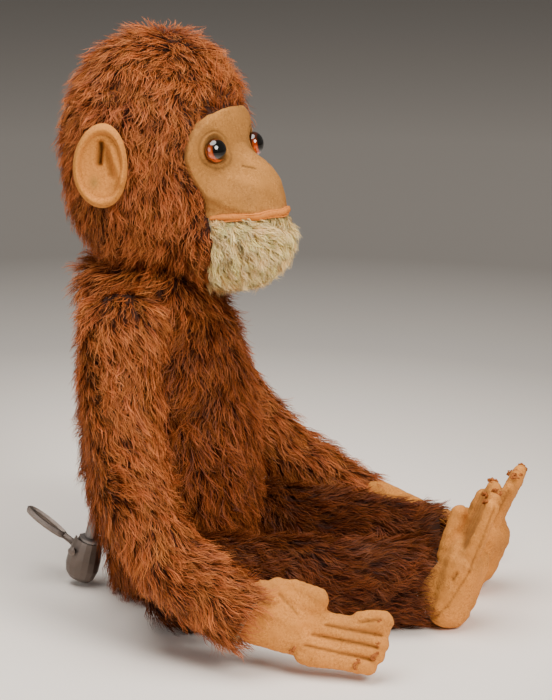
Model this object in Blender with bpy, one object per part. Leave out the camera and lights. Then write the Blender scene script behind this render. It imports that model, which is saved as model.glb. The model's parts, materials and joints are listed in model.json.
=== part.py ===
"""A seated, jointed mohair plush monkey whose tail lever turns and nods its head.

Metres, +Z up. The monkey sits on the plane Z = 0 and faces -Y, so its right side is at -X.
The origin is the middle of the flat base of the torso.

The head, the neck fork, the turning tube and the tail cup are one turning group on an axis that
leans back towards the tail. The group stands turned to the monkey's right, as it was left.
"""

import math

import bmesh
import bpy
import numpy as np
from mathutils import Matrix, Vector

MM = 0.001
GAP = 0.4 * MM  # between pieces that touch

# Torso: height, centre in y, half depth, half width of each station
TORSO_STATIONS = (
    (0.0, 0.0, 14.0, 12.0),
    (3.0, 0.0, 22.5, 18.0),
    (9.0, -1.5, 26.0, 22.0),
    (20.0, -3.0, 30.5, 24.0),
    (32.0, -3.0, 34.0, 25.5),
    (46.0, -2.5, 36.5, 30.0),
    (64.0, -1.5, 37.5, 34.0),
    (84.0, -0.5, 37.5, 34.5),
    (104.0, 1.0, 36.0, 33.0),
    (120.0, 2.0, 33.0, 29.5),
    (132.0, 2.0, 28.0, 24.0),
    (140.0, 2.0, 20.0, 17.0),
    (141.5, 2.0, 13.0, 11.0),
)
SKIN = 2.0 * MM  # mohair cloth with the foot of its pile

# Turning axis: passes through the neck, leaning back at the bottom
NECK = Vector((0.0, 3.0, 141.0)) * MM
AXIS_LEAN = math.radians(15.4)
HEAD_TURN = math.radians(-20.0)
TUBE_OUTER = 3.0 * MM
TUBE_INNER = 2.2 * MM
TUBE_TOP = 3.0 * MM  # along the axis, from the neck point
TUBE_BOTTOM = -122.2 * MM
SLEEVE_OUTER = 4.2 * MM
ROD_RADIUS = 0.9 * MM

# Nodding pivot, on the turning axis above the neck
NOD_RISE = 14.0 * MM
ROCKER_OFFSET = 4.6 * MM

# Tail cup and lever, measured along the turning axis
CUP_TOP = -124.0 * MM
CUP_DEPTH = 20.0 * MM
CUP_WALL = 0.8 * MM
RIVET_BACK = 3.6 * MM
RIVET_DOWN = -129.5 * MM
RIVET_RADIUS = 1.1 * MM
LEVER_LENGTH = 31.0 * MM
LEVER_RISE = math.radians(27.0)
LEVER_WIRE = 1.5 * MM

# Head: ellipsoids (centre, radii) that the head's surface wraps, seen from the star point
HEAD_FORMS = (
    ((0.0, 6.0, 206.0), (38.5, 38.5, 45.0)),
    ((0.0, 4.0, 178.0), (35.0, 34.0, 30.0)),
    ((0.0, -31.5, 181.0), (19.5, 21.5, 20.0)),
    ((0.0, -30.0, 166.0), (21.0, 24.0, 19.0)),
)
HEAD_STAR = Vector((0.0, -2.0, 188.0)) * MM
HEAD_BLEND = 7.0  # sharpness of the blend between the forms
HEAD_OPENING = math.radians(24.0)  # half angle of the neck hole, seen from the star point
HEAD_SKIN = 3.0 * MM

# Face: angles seen from the star point, sideways from straight ahead and up
MASK_CENTRE = math.radians(18.5)
MASK_HALF_WIDTH = math.radians(50.0)
MASK_HALF_HEIGHT = math.radians(31.2)
CHIN_CENTRE = math.radians(-37.5)
CHIN_HALF_WIDTH = math.radians(49.0)
CHIN_HALF_HEIGHT = math.radians(20.5)
LIP_ANGLE = math.radians(-14.8)
LIP_HALF_WIDTH = math.radians(48.0)
FELT = 1.2 * MM
BED = 1.3 * MM  # how deep the mask, the chin and the lip sit in the skin
PATCH_LOW = 0.5 * MM  # underside of the mask and the chin, above the head's own surface
LIP_RADIUS = 1.1 * MM
EYE_RADIUS = 5.2 * MM
EYE_AZIMUTH = math.radians(29.0)
EYE_RISE = math.radians(26.0)

# Ears
EAR_CENTRE = Vector((44.5, 5.0, 196.0)) * MM
EAR_HALF = (11.5 * MM, 18.0 * MM)
EAR_FLARE = math.radians(24.0)

# Arms, in the arm's plane: down the arm, forward, outward, half width in the plane, half thickness
SHOULDER_Y = 10.0 * MM
SHOULDER_Z = 125.0 * MM
SHOULDER_SLOPE = {"right": math.radians(25.5), "left": math.radians(15.0)}
ARM_RAISED = {"right": 0.0, "left": math.radians(16.0)}
ARM_STATIONS = {
    "right": (
        (0.0, 0.0, 0.0, 16.0, 16.0),
        (24.0, 1.0, -1.5, 15.5, 15.5),
        (50.0, 5.0, -4.0, 14.5, 14.5),
        (78.0, 13.0, -7.0, 14.0, 14.0),
        (98.0, 30.0, -8.5, 14.0, 13.5),
        (111.0, 49.0, -9.5, 13.8, 12.5),
        (118.0, 62.0, -10.0, 13.0, 11.5),
    ),
    "left": (
        (0.0, 0.0, 0.0, 16.0, 16.0),
        (24.0, 3.0, -1.5, 15.5, 15.5),
        (50.0, 9.0, -4.0, 15.0, 14.5),
        (74.0, 17.0, -6.0, 14.5, 14.0),
        (96.0, 29.0, -6.5, 14.0, 13.5),
        (115.0, 44.0, -6.5, 13.8, 12.5),
        (126.0, 54.0, -6.5, 13.0, 11.5),
    ),
}
ARM_OFFSET = 17.0 * MM  # from the joint plane to the middle of the arm

# Hands, in the same plane: back of the hand outward
PALM_STATIONS = {
    "right": (
        (118.8, 63.4, -10.0, 11.0, 8.6),
        (120.3, 66.4, -10.2, 12.2, 8.2),
        (123.4, 78.0, -10.6, 13.8, 6.6),
        (125.2, 92.0, -10.8, 13.8, 6.2),
        (126.2, 105.0, -11.0, 13.8, 5.8),
        (126.6, 114.0, -11.2, 12.5, 4.6),
        (126.8, 117.5, -11.2, 8.0, 2.6),
    ),
    "left": (
        (127.1, 55.0, -6.5, 11.0, 8.6),
        (129.2, 57.6, -6.7, 12.2, 8.2),
        (135.8, 67.4, -7.1, 13.6, 6.6),
        (142.4, 79.8, -7.3, 13.6, 6.2),
        (148.0, 91.8, -7.5, 13.4, 5.8),
        (151.8, 100.0, -7.7, 12.5, 4.6),
        (153.2, 103.2, -7.7, 8.0, 2.6),
    ),
}
THUMBS = {
    "right": ((112.5, 72.0, -11.0), (106.5, 86.5, -12.5)),
    "left": ((124.0, 68.5, -7.5), (122.0, 84.0, -9.0)),
}
THUMB_RADIUS = 5.0 * MM

# Legs: forward, up, outward, half height, half thickness
HIP_Y = {"right": -13.5 * MM, "left": -16.0 * MM}
HIP_Z = 20.5 * MM
LEG_INWARD = {"right": math.radians(12.0), "left": math.radians(8.0)}
LEG_STATIONS = (
    (0.0, 0.0, 0.0, 20.0, 16.5),
    (28.0, -0.4, 0.0, 19.8, 16.5),
    (56.0, -1.0, 0.0, 19.2, 16.0),
    (82.0, -1.6, 0.0, 18.6, 15.5),
    (98.0, -1.8, 0.0, 18.4, 15.0),
)
LEG_OFFSET = 18.5 * MM

# Feet, standing up from the heel: height, forward, half depth, half width
FOOT_STATIONS = (
    (-19.6, 107.0, 5.0, 7.0),
    (-17.0, 107.5, 8.0, 10.5),
    (-8.0, 110.0, 10.4, 13.0),
    (8.0, 113.0, 12.0, 14.0),
    (22.0, 117.0, 10.8, 14.0),
    (33.0, 122.5, 7.8, 14.0),
    (40.0, 126.5, 6.0, 13.0),
    (44.5, 129.5, 3.6, 9.0),
)

# Disc joints
SHOULDER_DISC = 7.5 * MM
HIP_DISC = 8.5 * MM
DISC_THICK = 2.0 * MM
LIMB_DISC_DEPTH = 7.8 * MM  # from the joint plane to the near face of a disc
BODY_DISC_DEPTH = 7.5 * MM
PIN_RADIUS = 0.95 * MM
WASHER_RADIUS = 3.6 * MM
WASHER_THICK = 0.6 * MM
CURL_RADIUS = 2.2 * MM

AROUND = 14  # points round a fur piece
SMALL_AROUND = 12  # points round a small turned piece
PATCH_AROUND = 28  # points round the mask and the chin
TUBE_SIDES = 6

MATERIALS = {
    "mohair": ((0.28, 0.085, 0.025, 1.0), 0.9, 0.0),
    "white_mohair": ((0.75, 0.70, 0.55, 1.0), 0.9, 0.0),
    "felt": ((0.66, 0.40, 0.20, 1.0), 0.95, 0.0),
    "piping": ((0.72, 0.36, 0.14, 1.0), 0.9, 0.0),
    "glass": ((0.02, 0.008, 0.004, 1.0), 0.05, 0.0),
    "iron": ((0.09, 0.065, 0.055, 1.0), 0.45, 0.9),
    "steel": ((0.35, 0.34, 0.33, 1.0), 0.4, 1.0),
    "board": ((0.30, 0.20, 0.11, 1.0), 0.85, 0.0),
    "straw": ((0.55, 0.42, 0.22, 1.0), 0.95, 0.0),
}


def clear_scene():
    for obj in list(bpy.data.objects):
        bpy.data.objects.remove(obj, do_unlink=True)


def material(name):
    found = bpy.data.materials.get(name)
    if found:
        return found
    colour, roughness, metallic = MATERIALS[name]
    made = bpy.data.materials.new(name)
    made.use_nodes = True
    shader = made.node_tree.nodes["Principled BSDF"]
    shader.inputs["Base Color"].default_value = colour
    shader.inputs["Roughness"].default_value = roughness
    shader.inputs["Metallic"].default_value = metallic
    made.diffuse_color = colour
    return made


def empty(name, location, parent=None, matrix=None):
    made = bpy.data.objects.new(name, None)
    bpy.context.collection.objects.link(made)
    made.parent = parent
    made.matrix_basis = Matrix.Translation(location) @ (matrix or Matrix()).to_4x4()
    return made


# ---- meshes ------------------------------------------------------------------------------------


def mesh_object(name, grid, finish, parent, ends=True, wrap=False):
    """An object from rings of points, each ring joined to the next."""
    made = bmesh.new()
    rows = [[made.verts.new(Vector(p)) for p in ring] for ring in grid]
    pairs = list(zip(rows, rows[1:]))
    if wrap:
        pairs.append((rows[-1], rows[0]))
    for low, high in pairs:
        for i in range(len(low)):
            j = (i + 1) % len(low)
            made.faces.new((low[i], low[j], high[j], high[i]))
    if ends and not wrap:
        made.faces.new(rows[0][::-1])
        made.faces.new(rows[-1])
    bmesh.ops.recalc_face_normals(made, faces=made.faces)
    mesh = bpy.data.meshes.new(name)
    made.to_mesh(mesh)
    made.free()
    mesh.shade_smooth()
    mesh.set_sharp_from_angle(angle=math.radians(45))
    mesh.materials.append(material(finish))
    obj = bpy.data.objects.new(name, mesh)
    obj.parent = parent
    bpy.context.collection.objects.link(obj)
    return obj


def combine(obj, other, operation):
    """A Boolean of obj with a helper, which is then hidden."""
    modifier = obj.modifiers.new(operation.lower(), "BOOLEAN")
    modifier.operation = operation
    modifier.solver = "EXACT"
    modifier.object = other
    other.hide_render = True
    other.display_type = "WIRE"


def cut(obj, other):
    combine(obj, other, "DIFFERENCE")


def join(obj, other):
    combine(obj, other, "UNION")


def smooth(rows, count):
    """A smooth curve through rows of numbers, count points in all."""
    rows = np.array(rows, float)
    ends = np.vstack([2 * rows[0] - rows[1], rows, 2 * rows[-1] - rows[-2]])
    made = []
    for place in np.linspace(0, len(rows) - 1, count):
        k = min(int(place), len(rows) - 2)
        t = place - k
        a, b, c, d = ends[k : k + 4]
        made.append(
            0.5 * (2 * b + (c - a) * t + (2 * a - 5 * b + 4 * c - d) * t**2)
            + 0.5 * (3 * b - a - 3 * c + d) * t**3
        )
    return np.array(made)


def ring(centre, side, up, half_side, half_up, count=AROUND):
    turns = np.arange(count) * 2 * math.pi / count
    return [
        Vector(centre) + side * (half_side * math.cos(t)) + up * (half_up * math.sin(t))
        for t in turns
    ]


def tube_rings(points, radius, sides=TUBE_SIDES, closed=False):
    """Rings of a round bar along points."""
    points = [Vector(p) for p in points]
    last = len(points) - 1
    made = []
    across = None
    for i, point in enumerate(points):
        before = points[i - 1] if i or closed else points[0]
        after = points[(i + 1) % len(points)] if i < last or closed else points[last]
        along = (after - before).normalized()
        if across is None:
            across = along.orthogonal().normalized()
        across = (across - along * across.dot(along)).normalized()
        made.append(ring(point, across, along.cross(across), radius, radius, sides))
    return made


def tube(name, points, radius, finish, parent, sides=TUBE_SIDES, closed=False):
    rings = tube_rings(points, radius, sides, closed)
    return mesh_object(name, rings, finish, parent, wrap=closed)


def turned(name, centre, axis, profile, finish, parent, count=SMALL_AROUND, wrap=False):
    """A turned piece: the profile is pairs of radius and distance along the axis."""
    axis = Vector(axis).normalized()
    side = axis.orthogonal().normalized()
    up = axis.cross(side)
    rings = [ring(Vector(centre) + axis * h, side, up, r, r, count) for r, h in profile]
    return mesh_object(name, rings, finish, parent, wrap=wrap)


def washer(name, centre, axis, radius, hole, thick, finish, parent, count=SMALL_AROUND):
    profile = ((hole, 0.0), (radius, 0.0), (radius, thick), (hole, thick))
    return turned(name, centre, axis, profile, finish, parent, count, wrap=True)


def inset(rings, distance):
    """Rings moved into the solid by distance, square to its surface."""
    grid = np.array([[tuple(p) for p in r] for r in rings])
    around = np.roll(grid, -1, axis=1) - np.roll(grid, 1, axis=1)
    along = np.gradient(grid, axis=0)
    normal = np.cross(around, along)
    normal /= np.linalg.norm(normal, axis=2)[:, :, None]
    middle = grid.mean(axis=(0, 1))
    outward = ((grid - middle) * normal).sum()
    return grid - normal * distance * (1 if outward > 0 else -1)


# ---- torso -------------------------------------------------------------------------------------


def torso_station(height):
    """Centre in y, half depth and half width of the torso at a height, in metres."""
    rows = smooth(TORSO_STATIONS, 200) * MM
    return [np.interp(height, rows[:, 0], rows[:, k]) for k in (1, 2, 3)]


def torso_side(y, height):
    """Half the torso's width at a place on its side."""
    centre, depth, width = torso_station(height)
    return width * math.sqrt(1 - ((y - centre) / depth) ** 2)


def torso_rings(count):
    rows = smooth(TORSO_STATIONS, count) * MM
    return [ring((0, y, z), Vector((1, 0, 0)), Vector((0, 1, 0)), w, d) for z, y, d, w in rows]


def make_torso(joints):
    axis = shaft_axis()
    rings = torso_rings(13)
    skin = mesh_object("torso_skin", rings, "mohair", None)
    hollow = [list(r) for r in inset(rings, SKIN)][1:-1]
    cut(skin, mesh_object("torso_hollow", hollow, "mohair", None))
    neck_hole = turned(
        "neck_hole", NECK, axis, ((8 * MM, -6 * MM), (8 * MM, 8 * MM)), "mohair", None
    )
    cut(skin, neck_hole)
    filled = [list(r) for r in inset(rings, SKIN + GAP)][1:-1]
    stuffing = mesh_object("torso_stuffing", filled, "straw", None)
    cut(stuffing, shaft_bore("stuffing_bore", SLEEVE_OUTER + GAP))
    cut(stuffing, plate_pocket("neck_plate_pocket", -6.4 * MM, 10.6 * MM))
    cut(skin, shaft_bore("skin_bore", SLEEVE_OUTER + GAP, top=-60 * MM))
    for joint in joints:
        cut(skin, pin_hole(joint, "torso"))
        cut(stuffing, disc_pocket(joint, -1))
        torso_half_of_joint(joint)
    make_sleeve()


def shaft_axis():
    return Vector((0.0, -math.sin(AXIS_LEAN), math.cos(AXIS_LEAN)))


def on_shaft(back, up, side=0.0):
    """A place beside the turning axis, before it is turned, relative to the neck point."""
    rear = Vector((0.0, math.cos(AXIS_LEAN), math.sin(AXIS_LEAN)))
    return shaft_axis() * up + rear * back + Vector((side, 0, 0))


def shaft_bore(name, radius, top=20 * MM):
    ends = ((radius, -150 * MM), (radius, top))
    return turned(name, NECK, shaft_axis(), ends, "iron", None)


def plate_pocket(name, top, radius):
    ends = ((radius, top - 2.6 * MM), (radius, top + 20 * MM))
    return turned(name, NECK, shaft_axis(), ends, "iron", None)


def make_sleeve():
    """The fixed tube in the stuffing that the turning tube runs in, and its two plates."""
    axis = shaft_axis()
    top = -8.6 * MM
    bottom = -106.0 * MM
    inner = TUBE_OUTER + 0.3 * MM
    profile = ((inner, bottom), (SLEEVE_OUTER, bottom), (SLEEVE_OUTER, top), (inner, top))
    turned("guide_tube", NECK, axis, profile, "iron", None, wrap=True)
    place = NECK + axis * (top + GAP)
    washer("neck_plate", place, axis, 10 * MM, inner, 1.2 * MM, "steel", None, 16)


# ---- disc joints -------------------------------------------------------------------------------


class DiscJoint:
    """A limb's disc joint: its place on the torso's side and its outward axis."""

    def __init__(self, name, place, axis, radius):
        self.name = name
        self.place = Vector(place)
        self.axis = Vector(axis).normalized()
        self.radius = radius
        self.pivot = empty(name + "_pivot", self.place)


def shoulder_joint(side):
    sign = -1 if side == "right" else 1
    slope = SHOULDER_SLOPE[side]
    axis = Vector((sign * math.cos(slope), 0, math.sin(slope)))
    surface = Vector((sign * torso_side(SHOULDER_Y, SHOULDER_Z), SHOULDER_Y, SHOULDER_Z))
    return DiscJoint(side + "_shoulder", surface + axis * 0.5 * MM, axis, SHOULDER_DISC)


def hip_joint(side):
    sign = -1 if side == "right" else 1
    inward = LEG_INWARD[side]
    axis = Vector((sign * math.cos(inward), -math.sin(inward), 0))
    place_y = HIP_Y[side]
    surface = Vector((sign * torso_side(place_y, HIP_Z), place_y, HIP_Z))
    return DiscJoint(side + "_hip", surface + axis * 0.5 * MM, axis, HIP_DISC)


def pin_hole(joint, owner):
    ends = ((PIN_RADIUS + 0.5 * MM, -14 * MM), (PIN_RADIUS + 0.5 * MM, 14 * MM))
    name = f"{joint.name}_{owner}_hole"
    return turned(name, joint.place, joint.axis, ends, "steel", None, 10)


def disc_pocket(joint, way):
    """Room for one disc and what is behind it, on the torso's (-1) or the limb's (1) side."""
    radius = joint.radius + 0.5 * MM
    near = LIMB_DISC_DEPTH if way > 0 else BODY_DISC_DEPTH
    ends = ((radius, way * (near - 0.5 * MM)), (radius, way * (near + 9 * MM)))
    name = f"{joint.name}_pocket_{'limb' if way > 0 else 'torso'}"
    pocket = turned(name, joint.place, joint.axis, ends, "straw", None, 16)
    join(pocket, pocket_mouth(joint, way, name))
    return pocket


def pocket_mouth(joint, way, name):
    ends = ((PIN_RADIUS + 0.6 * MM, 0.0), (PIN_RADIUS + 0.6 * MM, way * BODY_DISC_DEPTH))
    return turned(name + "_mouth", joint.place, joint.axis, ends, "straw", None, 10)


def torso_half_of_joint(joint):
    hole = PIN_RADIUS + 0.4 * MM
    back = -joint.axis
    place = joint.place + back * BODY_DISC_DEPTH
    disc = (joint.name + "_body_disc", place, back, joint.radius, hole, DISC_THICK)
    washer(*disc, "board", None, 16)
    place = place + back * (DISC_THICK + GAP)
    washer(joint.name + "_washer", place, back, WASHER_RADIUS, hole, WASHER_THICK, "steel", None)


def limb_half_of_joint(joint):
    hole = PIN_RADIUS + 0.4 * MM
    place = joint.axis * LIMB_DISC_DEPTH
    disc = (joint.name + "_limb_disc", place, joint.axis, joint.radius, hole, DISC_THICK)
    washer(*disc, "board", joint.pivot, 16)
    make_split_pin(joint)


def make_split_pin(joint):
    """A split pin: an eye in the limb, and two ends spread and curled back to the washer."""
    out = joint.axis
    side = out.orthogonal().normalized()
    eye_radius = 1.7 * MM
    eye_place = LIMB_DISC_DEPTH + DISC_THICK + GAP + eye_radius + PIN_RADIUS
    washer_face = -(BODY_DISC_DEPTH + DISC_THICK + GAP + WASHER_THICK + GAP)
    eye = [
        out * (eye_place + eye_radius * math.sin(t)) + side * (eye_radius * math.cos(t))
        for t in np.arange(10) * math.pi / 5
    ]
    pin = tube(joint.name + "_split_pin", eye, PIN_RADIUS * 0.8, "steel", joint.pivot, 6, True)
    shank_end = washer_face - CURL_RADIUS
    shank = (out * (eye_place - eye_radius), out * shank_end)
    join(pin, tube(joint.name + "_shank", shank, PIN_RADIUS, "steel", joint.pivot, 8))
    curl_middle = washer_face - PIN_RADIUS * 0.7
    curl = [
        out * (curl_middle - CURL_RADIUS * math.cos(t)) + side * (CURL_RADIUS * 1.4 * math.sin(t))
        for t in np.radians(np.linspace(-88, 88, 11))
    ]
    join(pin, tube(joint.name + "_curl", curl, PIN_RADIUS * 0.7, "steel", joint.pivot, 6))


# ---- limbs -------------------------------------------------------------------------------------


class LimbFrame:
    """Turns a limb's own numbers (along, forward, outward) into a place relative to its pivot."""

    def __init__(self, along, forward, outward, offset):
        self.along = Vector(along)
        self.forward = Vector(forward)
        self.outward = Vector(outward)
        self.offset = offset

    def place(self, along, forward, outward):
        moved = self.outward * (outward + self.offset)
        return self.along * along + self.forward * forward + moved


def limb_rings(frame, stations, count, around=AROUND):
    """Oval rings along a limb, square to its path."""
    rows = smooth(stations, count) * MM
    middles = [frame.place(*row[:3]) for row in rows]
    made = []
    for i, row in enumerate(rows):
        along = (middles[min(i + 1, count - 1)] - middles[max(i - 1, 0)]).normalized()
        across = along.cross(frame.outward).normalized()
        thick = across.cross(along)
        made.append(ring(middles[i], across, thick, row[3], row[4], around))
    return made


def round_end(rings, length, steps=4):
    """Adds rings before the first, shrinking to a round end that is length deep."""
    first = [Vector(p) for p in rings[0]]
    middle = sum(first, Vector()) / len(first)
    inner = sum((Vector(p) for p in rings[1]), Vector()) / len(first)
    out = (middle - inner).normalized()
    added = []
    for turn in np.linspace(math.radians(82), 0, steps, endpoint=False):
        centre = middle + out * (length * math.sin(turn))
        added.append([centre + (p - middle) * math.cos(turn) for p in first])
    return added + rings


def limb_frame(side, kind, joint):
    outward = joint.axis
    if kind == "arm":
        forward = Vector((0, -1, 0))
        sign = -1 if side == "right" else 1
        slope = SHOULDER_SLOPE[side]
        down = Vector((sign * math.sin(slope), 0, -math.cos(slope)))
        raised = ARM_RAISED[side]
        along = down * math.cos(raised) + forward * math.sin(raised)
        forward = forward * math.cos(raised) - down * math.sin(raised)
        return LimbFrame(along, forward, outward, ARM_OFFSET)
    up = Vector((0, 0, 1))
    forward = Vector((-outward.y, outward.x, 0))
    if forward.y > 0:
        forward = -forward
    return LimbFrame(forward, up, outward, LEG_OFFSET)


def make_limb(side, kind, joint):
    """The skin, the stuffing and the joint of an arm or a leg."""
    frame = limb_frame(side, kind, joint)
    stations = ARM_STATIONS[side] if kind == "arm" else LEG_STATIONS
    count = 9 if kind == "arm" else 6
    length = stations[0][3] * MM
    rings = round_end(limb_rings(frame, stations, count), length)
    name = f"{side}_{kind}"
    skin = mesh_object(name + "_skin", rings, "mohair", joint.pivot)
    hollow = [list(r) for r in inset(rings, SKIN)]
    past_end = extended(hollow, 3 * MM)
    cut(skin, mesh_object(name + "_hollow", past_end, "mohair", joint.pivot))
    filled = [list(r) for r in inset(rings, SKIN + GAP)]
    stuffing = mesh_object(name + "_stuffing", filled, "straw", joint.pivot)
    cut(skin, pin_hole(joint, kind))
    cut(stuffing, disc_pocket(joint, 1))
    limb_half_of_joint(joint)
    return frame


def extended(rings, length):
    """The rings with one more past the open end."""
    last = [Vector(p) for p in rings[-1]]
    before = [Vector(p) for p in rings[-2]]
    step = (sum(last, Vector()) - sum(before, Vector())) / len(last)
    return [*rings, [p + step.normalized() * length for p in last]]


def make_hand(side, frame, pivot):
    rings = limb_rings(frame, PALM_STATIONS[side], 9, around=14)
    hand = mesh_object(side + "_hand", rings, "felt", pivot)
    root, tip = (frame.place(*(v * MM for v in end)) for end in THUMBS[side])
    join(hand, capsule(side + "_thumb", root, tip, THUMB_RADIUS, pivot))


def capsule(name, start, end, radius, pivot):
    axis = (end - start).normalized()
    length = (end - start).length
    turns = [math.radians(a) for a in (-80, -55, -28, 0)]
    profile = [(radius * math.cos(t), radius * math.sin(t)) for t in turns]
    profile += [(r, length - h) for r, h in profile[::-1]]
    return turned(name, start, axis, profile, "felt", pivot, 10)


def make_foot(side, frame, pivot):
    rows = smooth(FOOT_STATIONS, 10) * MM
    rings = [
        ring(frame.place(forward, up, 0.0), frame.along, frame.outward, depth, width, 14)
        for up, forward, depth, width in rows
    ]
    mesh_object(side + "_foot", rings, "felt", pivot)


# ---- turning group -----------------------------------------------------------------------------


def turning_matrix():
    """Turns about the leaning axis."""
    return Matrix.Rotation(HEAD_TURN, 3, shaft_axis())


def make_shaft(frame):
    axis = shaft_axis()
    walls = (
        (TUBE_INNER, TUBE_BOTTOM),
        (TUBE_OUTER, TUBE_BOTTOM),
        (TUBE_OUTER, TUBE_TOP),
        (TUBE_INNER, TUBE_TOP),
    )
    turned("turning_tube", (0, 0, 0), axis, walls, "iron", frame, wrap=True)
    collar = on_shaft(0, 2.0 * MM - 3.5 * MM)
    inner = TUBE_OUTER + 0.3 * MM
    washer("neck_collar", collar, axis, 6.5 * MM, inner, 1.5 * MM, "steel", frame, 18)
    make_fork(frame)
    make_cup(frame)
    make_push_rod(frame)


def make_fork(frame):
    """The U-shaped fork on the turning tube that holds the nodding pivot."""
    half = 7.0 * MM
    sheet = 1.2 * MM
    width = 5.0 * MM
    base = TUBE_TOP + 0.4 * MM
    top = NOD_RISE + 3.5 * MM
    outline = (
        (-half, base + sheet / 2),
        (half, base + sheet / 2),
    )
    plate = bar("neck_fork", frame, outline, width, sheet)
    for way in (-1, 1):
        name = f"fork_cheek_{'a' if way > 0 else 'b'}"
        cheek = bar(name, frame, ((way * half, base), (way * half, top)), width, sheet)
        join(plate, cheek)
    rod_way = turned(
        "fork_rod_hole",
        on_shaft(1.0 * MM, base - 1 * MM),
        shaft_axis(),
        ((2.4 * MM, 0.0), (2.4 * MM, 4 * MM)),
        "iron",
        frame,
    )
    cut(plate, rod_way)
    place = on_shaft(0, NOD_RISE, -12 * MM)
    hole = turned(
        "fork_pin_hole", place, (1, 0, 0), ((1.4 * MM, 0.0), (1.4 * MM, 24 * MM)), "iron", frame
    )
    cut(plate, hole)
    head = 2.2 * MM
    reach = half + sheet / 2 + 0.4 * MM
    profile = (
        (head, -reach - 1 * MM),
        (head, -reach),
        (1.0 * MM, -reach),
        (1.0 * MM, reach),
        (head, reach),
        (head, reach + 1 * MM),
    )
    turned("neck_pivot_pin", on_shaft(0, NOD_RISE), (1, 0, 0), profile, "steel", frame)


def bar(name, frame, ends, width, sheet):
    """A flat bar of sheet metal between two places in the fork's plane (side, up)."""
    start = on_shaft(0, ends[0][1], ends[0][0])
    end = on_shaft(0, ends[1][1], ends[1][0])
    along = (end - start).normalized()
    rear = on_shaft(1, 0)
    thick = along.cross(rear)
    half_width = rear * (width / 2)
    half_sheet = thick * (sheet / 2)
    reach = along * (sheet / 2)
    rings = [
        [p + half_width + half_sheet, p - half_width + half_sheet,
         p - half_width - half_sheet, p + half_width - half_sheet]
        for p in (start - reach, end + reach)
    ]
    return mesh_object(name, rings, "iron", frame)


def make_cup(frame):
    """The tail cup: drawn sheet, open at the top, slotted at the back for the lever."""
    side = Vector((1, 0, 0))
    rear = on_shaft(1, 0)
    profile = (
        (0.30, 0.20, -1.0), (0.62, 0.45, -0.97), (0.88, 0.72, -0.86), (1.0, 0.92, -0.66),
        (0.98, 1.0, -0.42), (0.90, 0.96, -0.20), (0.80, 0.86, 0.0),
    )
    half = 8.0 * MM

    def rings(shrink, top):
        made = []
        for rear_share, side_share, height in profile:
            middle = on_shaft(0.6 * MM, CUP_TOP + height * CUP_DEPTH + (top if height else 0))
            wide = half * side_share * 0.82 - shrink
            deep = half * rear_share - shrink
            made.append(ring(middle, side, rear, wide, deep, 16))
        return made

    cup = mesh_object("tail_cup", rings(0.0, 0.0), "iron", frame)
    hollow = extended(rings(CUP_WALL, CUP_WALL), 3 * MM)
    cut(cup, mesh_object("cup_hollow", hollow, "iron", frame))
    slot_half = 1.7 * MM
    corners = ((-slot_half, 3.0), (slot_half, 3.0), (slot_half, 14.0), (-slot_half, 14.0))
    slot = [
        [on_shaft(back * MM, CUP_TOP + up, across) for across, back in corners]
        for up in (-11.0 * MM, 3.0 * MM)
    ]
    cut(cup, mesh_object("lever_slot", slot, "iron", frame))
    rivet_hole(frame, cup)
    make_cup_bridge(frame)


def rivet_hole(frame, target):
    place = on_shaft(RIVET_BACK, RIVET_DOWN, -12 * MM)
    radius = RIVET_RADIUS + 0.3 * MM
    ends = ((radius, 0.0), (radius, 24 * MM))
    cut(target, turned("rivet_hole", place, (1, 0, 0), ends, "iron", frame))


def make_cup_bridge(frame):
    """The pressed bridge across the front of the cup's mouth, which the tube is swaged into."""
    axis = shaft_axis()
    place = on_shaft(-0.6 * MM, CUP_TOP + 0.3 * MM)
    hole = ROD_RADIUS + 0.6 * MM
    washer("cup_bridge", place, axis, 5.2 * MM, hole, 1.2 * MM, "iron", frame, 18)


def make_push_rod(frame):
    """The rod in the tube, from the lever's toe to the head's rocker."""
    low = RIVET_DOWN + 2.9 * MM
    path = [
        on_shaft(0, low),
        on_shaft(0, low + 4 * MM),
        on_shaft(0, TUBE_TOP - 1 * MM),
        on_shaft(0.6 * MM, TUBE_TOP + 2.5 * MM),
        on_shaft(ROCKER_OFFSET * 0.8, TUBE_TOP + 5.4 * MM),
        on_shaft(ROCKER_OFFSET, TUBE_TOP + 7.0 * MM),
        on_shaft(ROCKER_OFFSET, NOD_RISE - 2.2 * MM),
    ]
    tube("push_rod", path, ROD_RADIUS, "steel", frame)


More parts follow.
